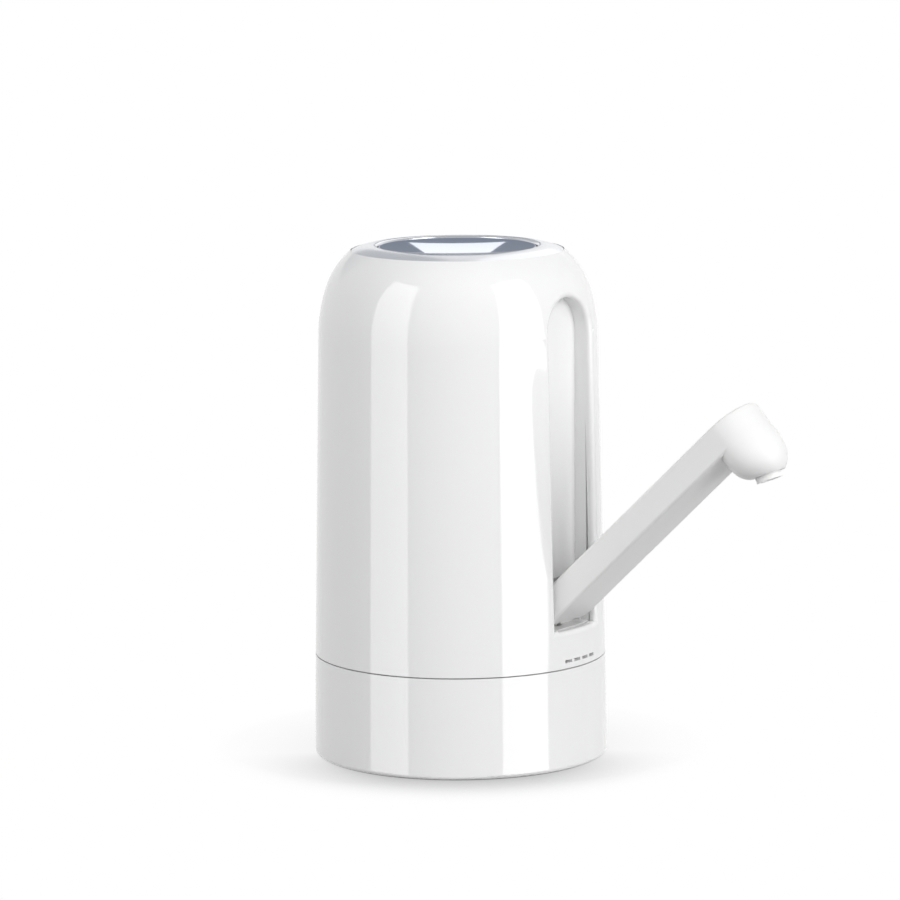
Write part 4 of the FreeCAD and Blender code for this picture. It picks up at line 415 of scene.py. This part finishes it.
room = {
    "color": (0.96, 0.965, 0.975),
    "strength": 0.44,
    "nearMirror": 0.52,      # what glossy surfaces see on the camera's side
    "farMirror": 1.0,        # and behind the object
}


def makeRoom():
    world = bpy.data.worlds.new("studioWorld")
    bpy.context.scene.world = world
    world.use_nodes = True
    tree = world.node_tree
    soft = tree.nodes["Background"]
    soft.inputs["Color"].default_value = (*room["color"], 1)
    soft.inputs["Strength"].default_value = room["strength"]
    coords = addNode(tree, "ShaderNodeTexCoord")
    behind = dotWith(tree, coords.outputs["Generated"], -levelDirection(camera["azimuth"]))
    mirror = addNode(tree, "ShaderNodeBackground")
    mirror.inputs["Color"].default_value = (1, 1, 1, 1)
    tree.links.new(remap(tree, behind, 0.0, 1.0, room["nearMirror"], room["farMirror"],
                         easing="SMOOTHSTEP"), mirror.inputs["Strength"])
    white = addNode(tree, "ShaderNodeBackground")
    white.inputs["Color"].default_value = (1, 1, 1, 1)
    white.inputs["Strength"].default_value = 1.0
    rays = addNode(tree, "ShaderNodeLightPath")
    glossy = mixShaders(tree, rays.outputs["Is Glossy Ray"], soft.outputs[0], mirror.outputs[0])
    shown = mixShaders(tree, rays.outputs["Is Camera Ray"], glossy, white.outputs[0])
    tree.links.new(shown, tree.nodes["World Output"].inputs["Surface"])


# upright sheets behind the object that only mirrors see
# azimuth is in degrees to the right of straight behind, lengths are in metres

mirrorSheets = {
    "dishDark": {"azimuth": 0, "distance": 0.5, "halfWidth": 0.03,
                 "low": 0.105, "high": 0.36, "color": (0.25, 0.275, 0.325)},
    "dishPanel": {"azimuth": 0, "distance": 0.498, "halfWidth": 0.009,
                  "low": 0.09, "high": 0.23, "color": (1.08, 1.1, 1.13)},
    "ringShade": {"azimuth": -24, "distance": 1.5, "halfWidth": 0.55,
                  "low": 0.5, "high": 2.2, "color": (0.57, 0.585, 0.61)},
    "ringGlow": {"azimuth": 16, "distance": 1.5, "halfWidth": 0.26,
                 "low": 0.5, "high": 2.2, "color": (1.25, 1.25, 1.25)},
}


def makeMirrorSheet(name, sheet):
    azimuth = camera["azimuth"] - sheet["azimuth"]
    spot = -levelDirection(azimuth) * sheet["distance"]
    bpy.ops.mesh.primitive_plane_add(size=2)
    piece = bpy.context.object
    piece.name = name
    piece.scale = (sheet["halfWidth"], (sheet["high"] - sheet["low"]) / 2, 1)
    bpy.ops.object.transform_apply(scale=True)
    piece.rotation_euler = (math.pi / 2, 0, math.radians(azimuth))
    piece.location = spot + Vector((0, 0, (sheet["low"] + sheet["high"]) / 2))
    material = bpy.data.materials.new(name + "Light")
    material.use_nodes = True
    tree = material.node_tree
    tree.nodes.remove(tree.nodes["Principled BSDF"])
    glow = addNode(tree, "ShaderNodeEmission")
    glow.inputs["Color"].default_value = (*sheet["color"], 1)
    clear = addNode(tree, "ShaderNodeBsdfTransparent")
    rays = addNode(tree, "ShaderNodeLightPath")
    shown = mixShaders(tree, rays.outputs["Is Glossy Ray"], clear.outputs[0], glow.outputs[0])
    tree.links.new(shown, tree.nodes["Material Output"].inputs["Surface"])
    piece.data.materials.append(material)


# upright soft boxes: azimuth is in degrees to the right of the camera, seen from the object

lamps = {
    "leftBox": {"azimuth": -58, "distance": 1.2, "low": -0.34, "high": 1.42,
                "width": 0.72, "power": 8, "roll": 0, "mirrored": True},
    "rightBox": {"azimuth": 55, "distance": 1.1, "low": -0.32, "high": 1.42,
                 "width": 0.78, "power": 11.5, "roll": -5, "mirrored": True},
    "frontBox": {"azimuth": 0, "distance": 1.6, "low": 0.1, "high": 1.4,
                 "width": 1.2, "power": 5.5, "roll": 0, "mirrored": False},
    "sideBox": {"azimuth": 52, "distance": 1.5, "low": 0.1, "high": 0.9,
                "width": 0.8, "power": 3.4, "roll": 0, "mirrored": False},
    "backBox": {"azimuth": 180, "distance": 1.6, "low": 0.0, "high": 0.6,
                "width": 1.6, "power": 5, "roll": 0, "mirrored": False},
}


def makeLamp(name, box):
    away = levelDirection(camera["azimuth"] + box["azimuth"])
    data = bpy.data.lights.new(name, "AREA")
    data.shape = "RECTANGLE"
    data.size = box["width"]
    data.size_y = box["high"] - box["low"]
    data.energy = box["power"]
    lamp = bpy.data.objects.new(name, data)
    bpy.context.scene.collection.objects.link(lamp)
    lamp.location = away * box["distance"] + Vector((0, 0, (box["low"] + box["high"]) / 2))
    lamp.rotation_euler = away.to_track_quat("Z", "Y").to_euler()
    lamp.rotation_euler.rotate_axis("Z", math.radians(box["roll"]))
    lamp.visible_glossy = box["mirrored"]


makeFloor()
makeRoom()
for sheetName, sheet in mirrorSheets.items():
    makeMirrorSheet(sheetName, sheet)
for lampName, box in lamps.items():
    makeLamp(lampName, box)
makeCamera()
bpy.context.scene.view_settings.view_transform = "Standard"
print("floor, lights and camera set")
